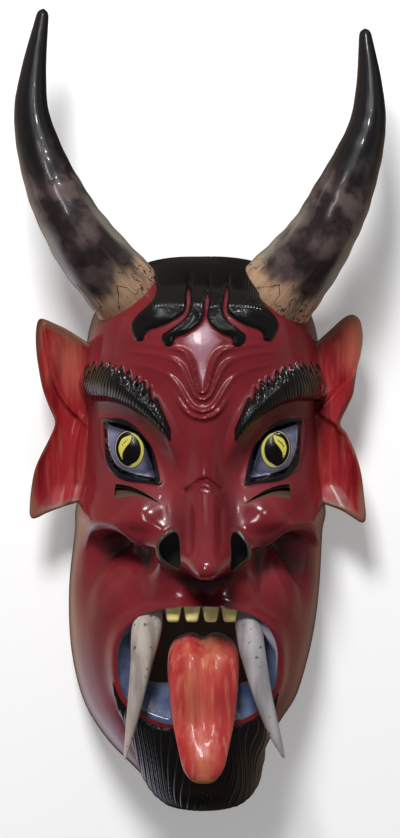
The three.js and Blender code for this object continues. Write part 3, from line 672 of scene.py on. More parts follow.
def eyes(x, y):
    """Paint distances of the eye's parts, and the lid's rise round the white."""
    out = np.abs(x)
    dx, dy = out - IRIS.out, y - IRIS.y
    turn = math.radians(IRIS.tilt)
    along = dx * math.cos(turn) - dy * math.sin(turn)
    across = dy * math.cos(turn) + dx * math.sin(turn)
    zones = {
        "line": outline_distance(between(EYE_LINE.over, EYE_LINE.under, 30), out, y),
        "white": outline_distance(between(EYE_WHITE.over, EYE_WHITE.under, 30), out, y),
        "iris": (1 - np.hypot(along / IRIS.wide, across / IRIS.high)) * IRIS.wide,
        "inner": -dx,
        "leaf": outline_distance(between(LEAF.outer, LEAF.inner, 24), dx, dy),
        "vein": VEIN_HALF - path_distance(smooth_path(LEAF_VEIN, 8), dx, dy)[0],
        # Distance from the white's upper edge, which carries the lid's painted shadow.
        "lid": path_distance(smooth_path(EYE_WHITE.over, 30), out, y)[0],
    }
    return zones, EYE_LID.rise * bell(zones["white"] + EYE_LID.out, EYE_LID.half)


def nose_details(x, y):
    """The crease across the bridge, the crest under it and the flutes beside the ridge."""
    beside = np.abs(x - NOSE_X)
    window = ease(*NOSE_FLUTE.top, y) * ease(*NOSE_FLUTE.bottom, y)
    flute = NOSE_FLUTE.depth * bell(beside - NOSE_FLUTE.out, NOSE_FLUTE.reach) * window
    near, above, _ = path_distance(NOSE_CREASE, x, y)
    crest = bell(above + CREASE_CREST.below, CREASE_CREST.half)
    crest = CREASE_CREST.rise * crest * bell(near - np.abs(above), CREASE_CREST.end_half)
    return crest - flute - CREASE_CUT.depth * bell(near, CREASE_CUT.half)


def nostril_rims(x, y):
    """Distance inside the nostrils and the rise of the rim at their outer side."""
    inside = np.maximum(*(outline_distance(closed_path(outline, 5), x, y) for outline in NOSTRILS.values()))
    outer = ease(*NOSTRIL_RIM.outer, np.abs(x - NOSE_X))
    rise = NOSTRIL_RIM.rise * outer * bell(inside + NOSTRIL_RIM.out, NOSTRIL_RIM.half)
    return inside - NOSTRIL_RIM.hidden * (1 - outer), rise


# The face's grid
def face_levels():
    """Levels of the rows, spaced along the midline's own length as wanted at each level."""
    fine = np.sin(np.linspace(-math.pi / 2, math.pi / 2, 8001))
    y = (CROWN_Y + BEARD_TIP_Y) / 2 - fine * (CROWN_Y - BEARD_TIP_Y) / 2
    level, spacing = np.transpose(ROW_SPACING)
    wanted = np.interp((y[1:] + y[:-1]) / 2, level, spacing)
    total = run_along(np.hypot(np.diff(y), np.diff(depth(y))) / wanted)
    rows = int(total[-1])
    return np.interp(np.arange(1, rows) * total[-1] / rows, total, y)


def section(y, columns, inset=0.0, crowding=0.0):
    """Points of a level cut through the egg form from rim to rim, closer together near the midline."""
    angle = np.linspace(math.pi, 0, 721)
    power = 2 / SECTION_ROUNDNESS
    side = np.cos(angle)
    x = half_width(y, side, inset) * bulged(side, power)
    z = depth(y, inset) * np.abs(np.sin(angle)) ** power
    z[0] = z[-1] = 0
    weight = 1 + crowding * (1 - ease(*FACE_CROWDING.fade, np.abs(x[1:] + x[:-1]) / 2))
    run = run_along(np.hypot(np.diff(x), np.diff(z)) * weight)
    wanted = np.linspace(0, run[-1], columns + 1)
    return np.interp(wanted, run, x), np.interp(wanted, run, z)


def dome(rows, top_pole, bottom_pole):
    """Points and faces of a closed body over a grid of points whose rows run from rim to rim."""
    count, columns = rows.shape[:2]
    points = np.vstack([rows.reshape(-1, 3), [top_pole], [bottom_pole]])
    index = np.arange(count * columns).reshape(count, columns)
    quads = np.stack([index[:-1, :-1], index[1:, :-1], index[1:, 1:], index[:-1, 1:]], axis=-1)
    back = np.stack([index[:-1, 0], index[:-1, -1], index[1:, -1], index[1:, 0]], axis=-1)
    top, bottom = len(points) - 2, len(points) - 1
    fans = [[top, index[0, c], index[0, c + 1]] for c in range(columns - 1)]
    fans += [[bottom, index[-1, c + 1], index[-1, c]] for c in range(columns - 1)]
    fans += [[top, index[0, -1], index[0, 0]], [bottom, index[-1, 0], index[-1, -1]]]
    return points, [*quads.reshape(-1, 4).tolist(), *back.tolist(), *fans]


def blurred(field, reach):
    """A grid's values averaged over a square of neighbours."""
    size = 2 * reach + 1
    for axis in (0, 1):
        first, last = (np.repeat(np.take(field, [end], axis), reach, axis) for end in (0, -1))
        total = np.cumsum(np.concatenate([first, field, last], axis), axis)
        total = np.concatenate([np.zeros_like(np.take(total, [0], axis)), total], axis)
        upper = np.take(total, range(size, total.shape[axis]), axis)
        lower = np.take(total, range(0, total.shape[axis] - size), axis)
        field = (upper - lower) / size
    return field


def broad_face():
    """Grid of points with the broad carving, their outward direction, its rise and the carving's share."""
    levels = face_levels()
    cuts = [section(y, FACE_COLUMNS, crowding=FACE_CROWDING.more) for y in levels]
    x = np.array([cut[0] for cut in cuts])
    z = np.array([cut[1] for cut in cuts])
    y = np.repeat(levels[:, None], x.shape[1], axis=1)
    away = outward(x, y, z)
    carved = ease(*CARVED_FROM, z)
    rise = relief(x, y) * carved
    place = np.stack([x, y, z], axis=-1) + away * rise[..., None]
    place[..., 1] -= NOSE_OVERHANG * nose_rise(x, y)
    return place, away, rise, carved


def set_eyeballs(place, inside):
    x, y, z = np.moveaxis(place, -1, 0)
    ball = EYE_BALL.radius ** 2 - (np.abs(x) - EYE_BALL.out) ** 2 - (y - EYE_BALL.y) ** 2
    height = EYE_BALL.z + np.sqrt(np.maximum(ball, 0))
    place[..., 2] += inside * (np.maximum(height, z - EYE_BALL.sink) - z)


def combing(brow_zone, beard_zone):
    """How deep the strands are, in hair, brows and beard."""
    combed = np.full(brow_zone.shape, COMBING["hair"])
    for part, zone in (("brow", brow_zone), ("beard", beard_zone)):
        combed += (COMBING[part] - COMBING["hair"]) * ease(-2, 0, zone)
    return combed


def carved_face():
    """The outside of the face and its paint zones."""
    place, away, broad, carved = broad_face()
    x, y = place[..., 0], place[..., 1]
    hair_zone, hair_strand, hair_rise = hair(x, y)
    brow_zone, brow_strand, brow_rise = brow(x, y)
    beard_zone, beard_strand, beard_rise = beard(x, y)
    eye_zones, lid = eyes(x, y)
    inside_eye = ease(-EYE_BALL.edge, EYE_BALL.edge, eye_zones["white"])
    set_eyeballs(place, inside_eye)
    nostril_zone, nostril_rise = nostril_rims(x, y)
    bald = (1 - ease(-1, 0, hair_zone)) * (1 - ease(-1, 0, brow_zone))
    fine = hair_rise + brow_rise + lid + nostril_rise + nose_details(x, y) + wrinkles(x, y) * bald
    fine = fine * carved * (1 - inside_eye) + beard_rise
    place += away * fine[..., None]
    height = broad + fine
    strand = np.where(hair_zone > brow_zone, hair_strand, brow_strand)
    zones = {
        **eye_zones,
        "black": np.maximum(np.maximum(hair_zone, brow_zone), beard_zone),
        "strand": np.where(beard_zone > -3, beard_strand, strand),
        # Depth below the blurred surroundings; it carries the painted shade and the duller gloss of the
        # hollows.
        "shaded_recess": blurred(blurred(height, 5), 5) - height,
        # Inside the forehead's painted highlight.
        "diamond_highlight": outline_distance(DIAMOND_HIGHLIGHT, x, y),
        "nostril": nostril_zone,
        # The brows' outer ends, where the strands get their painted sheen.
        "worn": ease(*BROW_SHEEN, np.abs(x)) * ease(0, 1, brow_zone),
        "combed": combing(brow_zone, beard_zone),
    }
    paint = {name: with_ends(zone, OUTSIDE) for name, zone in zones.items()}
    return dome(place, [0, CROWN_Y, 0], [0, BEARD_TIP_Y, 0]), paint


def hollow():
    """Points and faces of the space behind the face, the egg drawn in by the wood's thickness."""
    rising = np.sin(np.linspace(math.pi / 2, 0, 16)[1:-1]) ** (2 / CROWN_ROUNDNESS)
    falling = np.sin(np.linspace(0, math.pi / 2, 10)[1:-1]) ** (2 / CHIN_ROUNDNESS)
    levels = np.concatenate([
        BROW_Y + (CROWN_Y - BROW_Y) * rising,
        np.linspace(BROW_Y, CHIN_Y, 56),
        CHIN_Y - (CHIN_Y - BEARD_TIP_Y) * falling,
    ])
    top, bottom = CROWN_Y - WALL, BEARD_TIP_Y + WALL
    drawn_in = np.interp(levels, [BEARD_TIP_Y, CHIN_Y, BROW_Y, CROWN_Y], [bottom, CHIN_Y, BROW_Y, top])
    rows = []
    for y, drawn in zip(levels, drawn_in):
        x, z = section(y, 44, WALL)
        sunk = z + np.minimum(0, relief(x, np.full(x.shape, y)))
        height = np.where(z == 0, -HOLLOW_BELOW, np.maximum(HOLLOW_RIM, sunk))
        rows.append(np.stack([x, np.full(x.shape, drawn), height], axis=-1))
    return dome(np.array(rows), [0, top, -HOLLOW_BELOW], [0, bottom, -HOLLOW_BELOW])


# Lofts
def loft(rings):
    """Points and faces of a closed body through rings of points."""
    rings = np.asarray(rings)
    count, sides = rings.shape[:2]
    points = np.vstack([rings.reshape(-1, 3), rings[0].mean(axis=0), rings[-1].mean(axis=0)])
    index = np.arange(count * sides).reshape(count, sides)
    after = np.roll(index, -1, axis=1)
    quads = np.stack([index[:-1], after[:-1], after[1:], index[1:]], axis=-1).reshape(-1, 4)
    start, end = len(points) - 2, len(points) - 1
    caps = [[start, after[0, i], index[0, i]] for i in range(sides)]
    caps += [[end, index[-1, i], after[-1, i]] for i in range(sides)]
    return points, [*quads.tolist(), *caps]


def ring_values(values, sides):
    """One value for each ring, spread over its points and the two end points."""
    return np.concatenate([np.repeat(values, sides), [values[0], values[-1]]])


def with_ends(values, end=0.0):
    """The values of all points of a grid or of rings, then one for each of the two end points."""
    return np.concatenate([np.ravel(values), [end, end]])


def sweep(line, steps, sides, shape):
    """Rings round a middle line whose points carry their radius last; a shape changes the radius."""
    path = smooth_path(line, steps)
    way = unit(np.gradient(path[:, :3], axis=0))
    across = unit(np.cross([0, 0, 1], way))
    over = np.cross(way, across)
    angle = around(sides)
    radius = path[:, 3:4] * shape(np.linspace(0, 1, steps + 1)[:, None], angle[None, :])
    ring = across[:, None] * np.cos(angle)[:, None] + over[:, None] * np.sin(angle)[:, None]
    return path[:, None, :3] + ring * radius[..., None]


def mouth_funnel():
    """Rings of the mouth's opening with the share from the throat (0) to the lip's edge (1)."""
    angle = around(112)
    lip_x, lip_y = oval_point(LIP, angle)
    lip_z = egg_height(lip_x, lip_y) + relief(lip_x, lip_y)
    throat_x, throat_y = oval_point(THROAT, angle)
    rings = [(throat_x, throat_y, np.full(len(angle), MOUTH_BACK))]
    slope = np.linspace(0, 1, 9)
    for t in slope:
        height = lip_z - LIP_DEPTH + (LIP_DEPTH - LIP_LEDGE) * t**LIP_DISH
        rings.append((throat_x + (lip_x - throat_x) * t, throat_y + (lip_y - throat_y) * t, height))
    rings.append((*oval_point(LIP, angle, MOUTH_TOP.grow), lip_z + MOUTH_TOP.over))
    return np.array([np.column_stack(ring) for ring in rings]), np.array([-1.0, *slope, 1.0])


def prism(outline, low, high):
    outline = np.asarray(outline, float)
    return loft([np.column_stack([outline, np.full(len(outline), z)]) for z in (low, high)])


def slit_cut(side):
    """An eye slit through the wood; its lower wall slopes, so that it narrows inwards."""
    wide, narrow = (mirrored(slit_outline(16, share), side) for share in (0.0, SLIT_NARROWING))
    surface = egg_height(*wide.T) + relief(*wide.T)
    rings = [
        (narrow, np.full(len(narrow), SLIT_CUT.bottom)),
        (narrow, surface - WALL - SLIT_CUT.past_wall),
        (wide, surface + SLIT_CUT.over),
        (wide, surface + SLIT_CUT.top),
    ]
    return loft([np.column_stack(ring) for ring in rings])


def mirrored(outline, side):
    outline = np.array(outline, float)
    outline[:, 0] *= side
    return outline[::-1] if side < 0 else outline


def nostril(name):
    return prism(closed_path(NOSTRILS[name], 5)[::-1], NOSTRIL_FLOOR, NOSTRIL_TOP)


# Meshes
def add_mesh(name, shape, paint=None, material=None, sharp=None):
    points, faces = shape
    mesh = bpy.data.meshes.new(name)
    placed = (np.asarray(points) + FRAME_SHIFT) * MILLIMETRE
    mesh.from_pydata(placed.tolist(), [], faces)
    for zone, values in (paint or {}).items():
        layer = mesh.attributes.new(zone, "FLOAT", "POINT")
        layer.data.foreach_set("value", np.asarray(values, np.float32))
    if material:
        mesh.materials.append(material)
    obj = bpy.data.objects.new(name, mesh)
    bpy.context.scene.collection.objects.link(obj)
    if sharp:
        shade(obj, sharp)
    return obj


def shade(obj, sharp):
    """Smooth shading, but for edges that bend by more than an angle in degrees."""
    obj.data.shade_smooth()
    obj.data.set_sharp_from_angle(angle=math.radians(sharp))


def add_cutter(name, shape, **paint):
    count = len(shape[0])
    zones = {zone: np.broadcast_to(paint.get(zone, OUTSIDE), count) for zone in PAINT_ZONES}
    zones["strand"] = zones["shaded_recess"] = zones["combed"] = np.zeros(count)
    return add_mesh(name, shape, zones)


def cut(body, cutters):
    for cutter in cutters:
        step = body.modifiers.new(cutter.name, "BOOLEAN")
        step.operation = "DIFFERENCE"
        step.solver = "MANIFOLD"
        step.object = cutter
    graph = bpy.context.evaluated_depsgraph_get()
    result = body.evaluated_get(graph)
    mesh = bpy.data.meshes.new_from_object(result, preserve_all_data_layers=True, depsgraph=graph)
    body.modifiers.clear()
    body.data = mesh
    for cutter in cutters:
        bpy.data.objects.remove(cutter)


def settle(obj, node):
    """Puts a finished piece in the place of its solid."""
    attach(obj, "root")
    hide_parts(node)


def add_piece(node, look, shape, paint, material, sharp=60):
    settle(add_mesh(f"{node}_{look}", shape, paint, material, sharp), node)


def mask_face(material):
    shape, paint = carved_face()
    for zone in PAINT_ZONES:
        paint.setdefault(zone, np.full(len(shape[0]), OUTSIDE))
    body = add_mesh("mask_face_carved", shape, paint, material)
    rings, shares = mouth_funnel()
    cutters = [
        add_cutter("hollow", hollow(), bare=1.0),
        add_cutter("mouth", loft(rings), lip=ring_values(shares, rings.shape[1])),
    ]
    for name, side in (("left", -1), ("right", 1)):
        cutters.append(add_cutter("slit", slit_cut(side), pit=1.0))
        cutters.append(add_cutter("nostril", nostril(name), pit=2.0))
    cut(body, cutters)
    shade(body, 55)
    settle(body, "mask_face")


def tooth_rings(x):
    angle = around(32)
    across = bulged(np.cos(angle), TEETH.squareness)
    through = bulged(np.sin(angle), TEETH.squareness)
    middle = TEETH.front - TEETH.thick / 2
    rings = []
    for t in np.linspace(0, 1, 13):
        rounding = max(0.0, (t - TEETH.round_from) / (1 - TEETH.round_from))
        end = math.sqrt(max(0.0, 1 - rounding**2))
        half = (TEETH.top + (TEETH.foot - TEETH.top) * t) / 2
        half *= TEETH.foot_wide + (1 - TEETH.foot_wide) * end
        thick = TEETH.thick / 2 * (TEETH.foot_thick + (1 - TEETH.foot_thick) * end)
        level = TEETH.y + TEETH.root - (TEETH.drop + TEETH.root) * t
        ring = [x + half * across, np.full(len(angle), level), middle + thick * through]
        rings.append(np.column_stack(ring))
    return rings


def teeth(material):
    for i in range(TEETH.count):
        x = TEETH.x + TEETH.pitch * (i - (TEETH.count - 1) / 2)
        tooth = add_mesh(f"tooth_{i + 1}", loft(tooth_rings(x)), material=material, sharp=50)
        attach(tooth, "root")


def horn_growth(t, angle):
    """Change of a horn's radius: growth rings that fade towards the tip, slow ribs and a rounded tip."""
    rings = 0.010 * np.sin(95 * t + 0.6 * np.sin(angle)) + 0.008 * np.sin(41 * t + 1.3)
    ribs = 0.012 * np.sin(3 * angle + 9 * t)
    round_end = np.sqrt(1 - 0.97 * np.clip((t - HORN_TIP) / (1 - HORN_TIP), 0, 1) ** 2)
    return (1 + rings * ease(1.0, 0.3, t) + ribs) * round_end


def horn(name, material):
    steps, sides = 150, 56
    rings = sweep(HORN_LINES[name], steps, sides, horn_growth)
    angle = around(sides)
    shares = {
        "along": ring_values(np.linspace(0, 1, steps + 1), sides),
        "across": with_ends(np.tile(np.cos(angle), steps + 1)),
        "over": with_ends(np.tile(np.sin(angle), steps + 1)),
    }
    add_piece(f"horn_{name}", "polished", loft(rings), shares, material)


def tusk_growth(t, angle):
    return 1 + 0.02 * np.sin(2 * angle + 7 * t)


def tusk(name, material):
    rings = sweep(TUSK_LINES[name], 70, 32, tusk_growth)
    add_piece(f"tusk_{name}", "worn", loft(rings), None, material)


def ear_edge(name, rows):
    """The outline of an ear in points that are evenly spaced along it."""
    edge = smooth_path(EAR_EDGES[name], rows)
    run = run_along(np.hypot(*np.diff(edge, axis=0).T))
    wanted = np.linspace(0, run[-1], rows + 1)
    return np.column_stack([np.interp(wanted, run, edge[:, i]) for i in (0, 1)])


def ear_ridges(name, x, y):
    rise = np.zeros(x.shape)
    for path, height, drop in EAR_RIDGES[name]:
        near, beside, _ = path_distance(smooth_path(path, 24), x, y)
        behind = ease(-EAR_FOLD.soft, EAR_FOLD.soft, beside) * bell(near, EAR_FOLD.reach)
        rise += height * bell(near, EAR_FOLD.crest) - drop * behind
    return rise


def both_faces(front, back, side):
    """Rings that run over the front of a sheet and return over its back."""
    return np.concatenate([front, back[:, ::-1]], axis=1)[:, ::side]


def ear(name, side, material):
    rows, columns = 150, 40
    edge = ear_edge(name, rows)
    t = np.linspace(0, 1, rows + 1)[:, None]
    s = np.linspace(0, 1, columns + 1)[None, :]
    x = EAR_ROOT.x + (edge[:, :1] - EAR_ROOT.x) * s
    root_y = EAR_ROOT.top + (EAR_ROOT.bottom - EAR_ROOT.top) * t
    y = root_y + (edge[:, 1:] - root_y) * s
    reach = (x - EAR_ROOT.x) / (edge[:, 0].max() - EAR_ROOT.x)
    to_edge = np.maximum(outline_distance([*edge, EAR_BEHIND], x, y), 0)
    bowl = np.sqrt(swell(to_edge, EAR_BOWL.reach))
    bowl = bowl * ease(*EAR_BOWL.fade, y) * ease(*EAR_BOWL.root, reach)
    z = EAR_ROOT.z + EAR_FLARE * reach**2 + EAR_BOWL.rim - EAR_BOWL.depth * bowl
    thick = (EAR_THICK.edge + (EAR_THICK.root - EAR_THICK.edge) * (1 - reach)) / 2
    rounding = 1 - np.minimum(to_edge / EAR_THICK.rounding, 1)
    thick = thick * np.sqrt(1 - EAR_THICK.thinning * rounding**2)
    ridge = ear_ridges(name, x, y) * ease(*EAR_FOLD.root, reach) * ease(*EAR_FOLD.rim, to_edge)
    front = np.stack([side * x, y, z + thick + ridge], axis=-1)
    back = np.stack([side * x, y, z - thick], axis=-1)
    shape = loft(both_faces(front, back, side))
    ends = ease(*EAR_PAINT.top_end, y) + ease(*EAR_PAINT.bottom_end, y)
    zones = {"rim": to_edge, "upper": ease(*EAR_PAINT.upper, y), "ends": ends}
    paint = {zone: with_ends(both_faces(share, share, side)) for zone, share in zones.items()}
    add_piece(f"ear_{name}", "painted", shape, paint, material, sharp=70)


def tongue(material):
    steps, sides = 110, 80
    line = smooth_path(TONGUE_LINE, steps)
    middle = np.column_stack([np.full(steps + 1, TONGUE_X), line[:, :2]])
    over = unit(-np.cross([1, 0, 0], unit(np.gradient(middle, axis=0))))
    t = np.linspace(0, 1, steps + 1)
    angle = around(sides) + math.pi / sides
    wide = bulged(np.cos(angle), TONGUE_SQUARENESS)
    high = bulged(np.sin(angle), TONGUE_SQUARENESS)
    x = line[:, 2:3] * wide
    groove = TONGUE_GROOVE.depth * bell(x, TONGUE_GROOVE.half)
    groove = groove * (1 - ease(*TONGUE_GROOVE.fade, t[:, None]))
    rise = line[:, 3:4] * high - np.where(high > 0, groove, 0)
    rings = middle[:, None] + over[:, None] * rise[..., None] + np.array([1, 0, 0]) * x[..., None]
    paint = {"along": ring_values(t, sides), "across": with_ends(np.tile(wide, steps + 1))}
    add_piece("tongue", "painted", loft(rings), paint, material)


# Paint
class Nodes:
    """A tree of shading nodes, built node by node."""

    def __init__(self, owner):
        owner.use_nodes = True
        self.tree = owner.node_tree

    def feed(self, socket, value):
        if isinstance(value, bpy.types.NodeSocket):
            self.tree.links.new(value, socket)
        elif isinstance(value, tuple) and socket.type == "RGBA":
            socket.default_value = (*value, 1.0)
        else:
            socket.default_value = value

    def node(self, kind, **inputs):
        """A new node with its named inputs fed."""
        node = self.tree.nodes.new(f"ShaderNode{kind}")
        for name, value in inputs.items():
            self.feed(node.inputs[name], value)
        return node

    def math(self, operation, a, b=0.0):
        node = self.node("Math")
        node.operation = operation
        self.feed(node.inputs[0], a)
        self.feed(node.inputs[1], b)
        return node.outputs[0]

    def plus(self, a, b):
        return self.math("ADD", a, b)

    def minus(self, a, b):
        return self.math("SUBTRACT", a, b)

    def times(self, a, b):
        return self.math("MULTIPLY", a, b)

    def step(self, value, start, end, curve="SMOOTHSTEP"):
        """The share of the way from start to end, kept within 0 and 1."""
        node = self.node("MapRange", Value=value)
        node.interpolation_type = curve
        self.feed(node.inputs["From Min"], start)
        self.feed(node.inputs["From Max"], end)
        return node.outputs["Result"]

    def mix(self, share, a, b):
        """Two colours mixed; their sockets share names with others, so they are picked by number."""
        node = self.node("Mix", Factor=share)
        node.data_type = "RGBA"
        self.feed(node.inputs[6], a)
        self.feed(node.inputs[7], b)
        return node.outputs[2]


class Paint(Nodes):
    """One procedural material."""

    def __init__(self, name):
        self.material = bpy.data.materials.new(name)
        super().__init__(self.material)
        self.shader = self.tree.nodes["Principled BSDF"]

    def zone(self, name):
        node = self.node("Attribute")
        node.attribute_name = name
        return node.outputs["Fac"]

    def edge(self, zone, start, end):
        return self.step(self.zone(zone), start, end)

    def lay(self, colour, mask, paint, strength=1.0):
        """Lays a named paint over a colour."""
        return self.mix(self.times(mask, strength), colour, ink(paint))

    def blend(self, share, first, second):
        return self.mix(share, ink(first), ink(second))

    def spot(self):
        return self.node("TexCoord").outputs["Object"]

    def noise(self, scale, detail, stretch=(1, 1, 1), place=None):
        place = self.node("Mapping", Vector=place or self.spot(), Scale=stretch).outputs["Vector"]
        return self.node("TexNoise", Vector=place, Scale=scale, Detail=detail).outputs["Fac"]

    def nearness(self, middle, reach):
        """How near a point is to a place: 1 there and 0 at the reach, in metres along each axis."""
        mapping = self.node("Mapping", Vector=self.spot(), Location=middle, Scale=reach)
        mapping.vector_type = "TEXTURE"
        node = self.node("TexGradient", Vector=mapping.outputs["Vector"])
        node.gradient_type = "SPHERICAL"
        return node.outputs["Fac"]

    def bump(self, height, strength=0.3, distance=0.0006):
        node = self.node("Bump", Strength=strength, Distance=distance, Height=height)
        self.feed(self.shader.inputs["Normal"], node.outputs["Normal"])

    def finish(self, colour, roughness, coat=0.0):
        inputs = self.shader.inputs
        self.feed(inputs["Base Color"], colour)
        self.feed(inputs["Roughness"], roughness)
        inputs["Coat Weight"].default_value = coat
        inputs["Coat Roughness"].default_value = COAT_ROUGHNESS
        return self.material


def ink(name):
    """Linear colour of a named paint."""
    def linear(value):
        share = value / 255
        return share / 12.92 if share <= 0.04045 else ((share + 0.055) / 1.055) ** 2.4
    return tuple(linear(value) for value in COLOURS[name])


def red_paint(p):
    """Clouded red, with painted shade in the hollows and a painted highlight, a pale diamond, on the
    forehead.
    """
    colour = p.blend(p.step(p.noise(22, 4), 0.35, 0.68), "red", "bright red")
    # Painted shade: dark red laid where the surface sinks below its surroundings.
    colour = p.lay(colour, p.edge("shaded_recess", 0.5, 4.0), "shaded_recess", 0.8)
    # Painted highlight: a pale diamond on the forehead.
    return p.lay(colour, p.edge("diamond_highlight", -0.4, 4.0), "diamond_highlight", 0.4)


def hair_paint(p, colour, strands):
    """Black on hair, brows and beard, with a painted sheen, pale tan, on the strands' crests at the brows'
    outer ends.
    """
    colour = p.lay(colour, p.edge("black", -0.25, 0.25), "hair")
    # Painted reflection: pale tan on the strands' crests at the brows' outer ends.
    worn = p.times(p.step(strands, 0.6, 0.95), p.zone("worn"))
    return p.lay(colour, worn, "strand sheen", 0.4)


def nostril_paint(p, colour):
    rim = p.edge("nostril", -NOSTRIL_RIM.wide, -NOSTRIL_RIM.wide + 0.6)
    return p.lay(colour, rim, "nostril rim", 0.85)


def eye_paint(p, colour):
    colour = p.lay(colour, p.edge("line", -0.2, 0.3), "eye line")
    white, iris = p.zone("white"), p.zone("iris")
    ball = p.blend(p.step(p.noise(90, 2), 0.3, 0.7), "eye white", "pale eye white")
    # Painted highlight: a pale line round the edge of the white.
    ball = p.lay(ball, p.step(white, 1.4, 0.5), "eye rim highlight")
    # Painted shadow: the upper lid's shadow, dark blue, along the top of the white.
    ball = p.lay(ball, p.edge("lid", 6.0, 1.0), "lid shadow", 0.85)
    ball = p.lay(ball, p.step(iris, -0.5, -0.2), "iris edge")
    inner_side = p.edge("inner", -1.5, 3.0)
    ball = p.mix(p.step(iris, -0.1, 0.2), ball, p.blend(inner_side, "outer ring", "inner ring"))
    ring_width = p.plus(p.times(inner_side, IRIS.ring - IRIS.thin_ring), IRIS.thin_ring)
    ball = p.lay(ball, p.step(p.minus(iris, ring_width), -0.15, 0.15), "pupil")
    ball = p.lay(ball, p.edge("leaf", -0.1, 0.3), "leaf")
    ball = p.lay(ball, p.edge("vein", -0.1, 0.2), "vein")
    return p.mix(p.step(white, -0.1, 0.4), colour, ball)


def mouth_paint(p, colour):
    """Slate on the inner lip, and dull wood in the throat."""
    lip = p.zone("lip")
    slate = p.blend(p.step(p.noise(60, 3), 0.35, 0.7), "slate", "pale slate")
    colour = p.mix(p.step(lip, 0.02, 0.08), colour, slate)
    throat = p.times(p.step(lip, -3.0, -1.5), p.minus(1.0, p.step(lip, 0.0, 0.06)))
    return p.lay(colour, throat, "throat")


def cut_paint(p, colour, bare):
    """Bare wood behind the face, and dull walls in the eye slits and the nostrils."""
    wood = p.blend(p.step(p.noise(14, 4, (1, 0.12, 1)), 0.35, 0.7), "wood", "pale wood")
    pit = p.zone("pit")
    wall = p.blend(p.step(pit, 1.2, 1.8), "slit", "nostril")
    return p.mix(p.step(pit, *ON_CUT), p.mix(bare, colour, wood), wall)


def lacquer_roughness(p, bare):
    """Gloss that is duller in the hollows, round the eyes and on bare wood."""
    sunk = p.times(p.edge("shaded_recess", 0.2, 2.2), 0.35)
    line = p.zone("line")
    socket = p.times(p.minus(p.step(line, -17.0, -7.0), p.step(line, -1.5, 0.0)), 0.35)
    return p.plus(p.times(bare, 0.5), p.plus(p.math("MAXIMUM", sunk, socket), 0.14))


def lacquer():
    p = Paint("lacquered_wood")
    strands = p.math("SINE", p.times(p.zone("strand"), 2 * math.pi / STRAND_PITCH))
    bare = p.edge("bare", *ON_CUT)
    colour = hair_paint(p, red_paint(p), strands)
    colour = eye_paint(p, nostril_paint(p, colour))
    colour = cut_paint(p, mouth_paint(p, colour), bare)
    combed = p.times(p.times(strands, p.zone("combed")), p.edge("black", 0.2, 1.2))
    p.bump(p.plus(combed, p.times(p.noise(320, 2), 0.2)))
    return p.finish(colour, lacquer_roughness(p, bare), coat=0.2)


def horn_base(p, streaks, cracks, wavering):
    base = p.blend(p.step(streaks, 0.3, 0.7), "horn base", "pale horn base")
    crack = p.step(p.math("ABSOLUTE", p.minus(cracks, 0.5)), 0.018, 0.005)
    return p.mix(p.times(crack, p.step(wavering, 0.13, 0.2)), base, ink("horn crack"))


def horn_paint():
    p = Paint("horn")
    along = p.zone("along")
    across = p.zone("across")
    ring_place = p.node("CombineXYZ", X=along, Y=across, Z=p.zone("over")).outputs["Vector"]
    bands = p.noise(1.0, 5, (18, 0.9, 0.9), ring_place)
    patches = p.noise(1.0, 4, (9, 1.5, 1.5), ring_place)
    streaks = p.noise(1.0, 4, (4, 9, 9), ring_place)
    cracks = p.noise(1.0, 3, (22, 2.6, 2.6), ring_place)
    uneven = p.minus(patches, 0.5)
    wavering = p.plus(along, p.times(uneven, 0.16))
    colour = p.blend(p.step(bands, 0.36, 0.66), "horn", "pale horn")
    colour = p.lay(colour, p.step(patches, 0.5, 0.62), "horn patch", 0.75)
    colour = p.lay(colour, p.step(streaks, 0.55, 0.7), "horn streak", 0.35)
    # Painted sheen: pale grey along both sides of the horn, on the half nearer its root.
    edge = p.step(p.plus(p.math("ABSOLUTE", across), p.times(uneven, 0.9)), 0.66, 0.92)
    colour = p.lay(colour, p.times(edge, p.step(along, 0.5, 0.28)), "horn edge sheen", 0.8)
    colour = p.mix(p.step(wavering, 0.205, 0.25), horn_base(p, streaks, cracks, wavering), colour)
    colour = p.lay(colour, p.step(wavering, 0.46, 0.6), "horn tip")
    p.bump(p.plus(streaks, bands))
    return p.finish(colour, roughness=0.27, coat=0.3)


def flesh_paint(name):
    """Streaked red that the ears and the tongue start from."""
    p = Paint(f"painted_{name}")
    fine = p.noise(300, 3, (1, 0.1, 1))
    colour = p.blend(p.step(p.noise(90, 4, (1, 0.14, 1)), 0.35, 0.62), name, f"bright {name}")
    colour = p.lay(colour, p.step(fine, 0.48, 0.75), f"{name} streak", 0.5)
    p.bump(fine)
    return p, colour


def ear_paint():
    p, colour = flesh_paint("ear")
    tan = p.times(p.step(p.noise(30, 4, (1, 0.3, 1)), 0.45, 0.65), p.zone("upper"))
    colour = p.lay(colour, tan, "ear tan", 0.5)
    worn = p.plus(p.zone("rim"), p.times(p.noise(45, 3), 9.0))
    worn = p.minus(worn, p.times(p.zone("ends"), 4.0))
    colour = p.lay(colour, p.step(worn, 7.0, 3.5), "ear wear", 0.75)
    return p.finish(colour, roughness=0.27, coat=0.25)


def tongue_paint():
    p, colour = flesh_paint("tongue")
    middle = p.step(p.math("ABSOLUTE", p.zone("across")), 0.75, 0.2)
    ochre = p.times(p.step(p.noise(55, 4, (1, 0.12, 1)), 0.44, 0.6), middle)
    colour = p.lay(colour, ochre, "tongue ochre", 0.6)
    along = p.plus(p.zone("along"), p.times(p.noise(70, 2), 0.05))
    colour = p.lay(colour, p.step(along, 0.9, 0.925), "tongue rim")
    return p.finish(colour, roughness=0.22, coat=0.4)


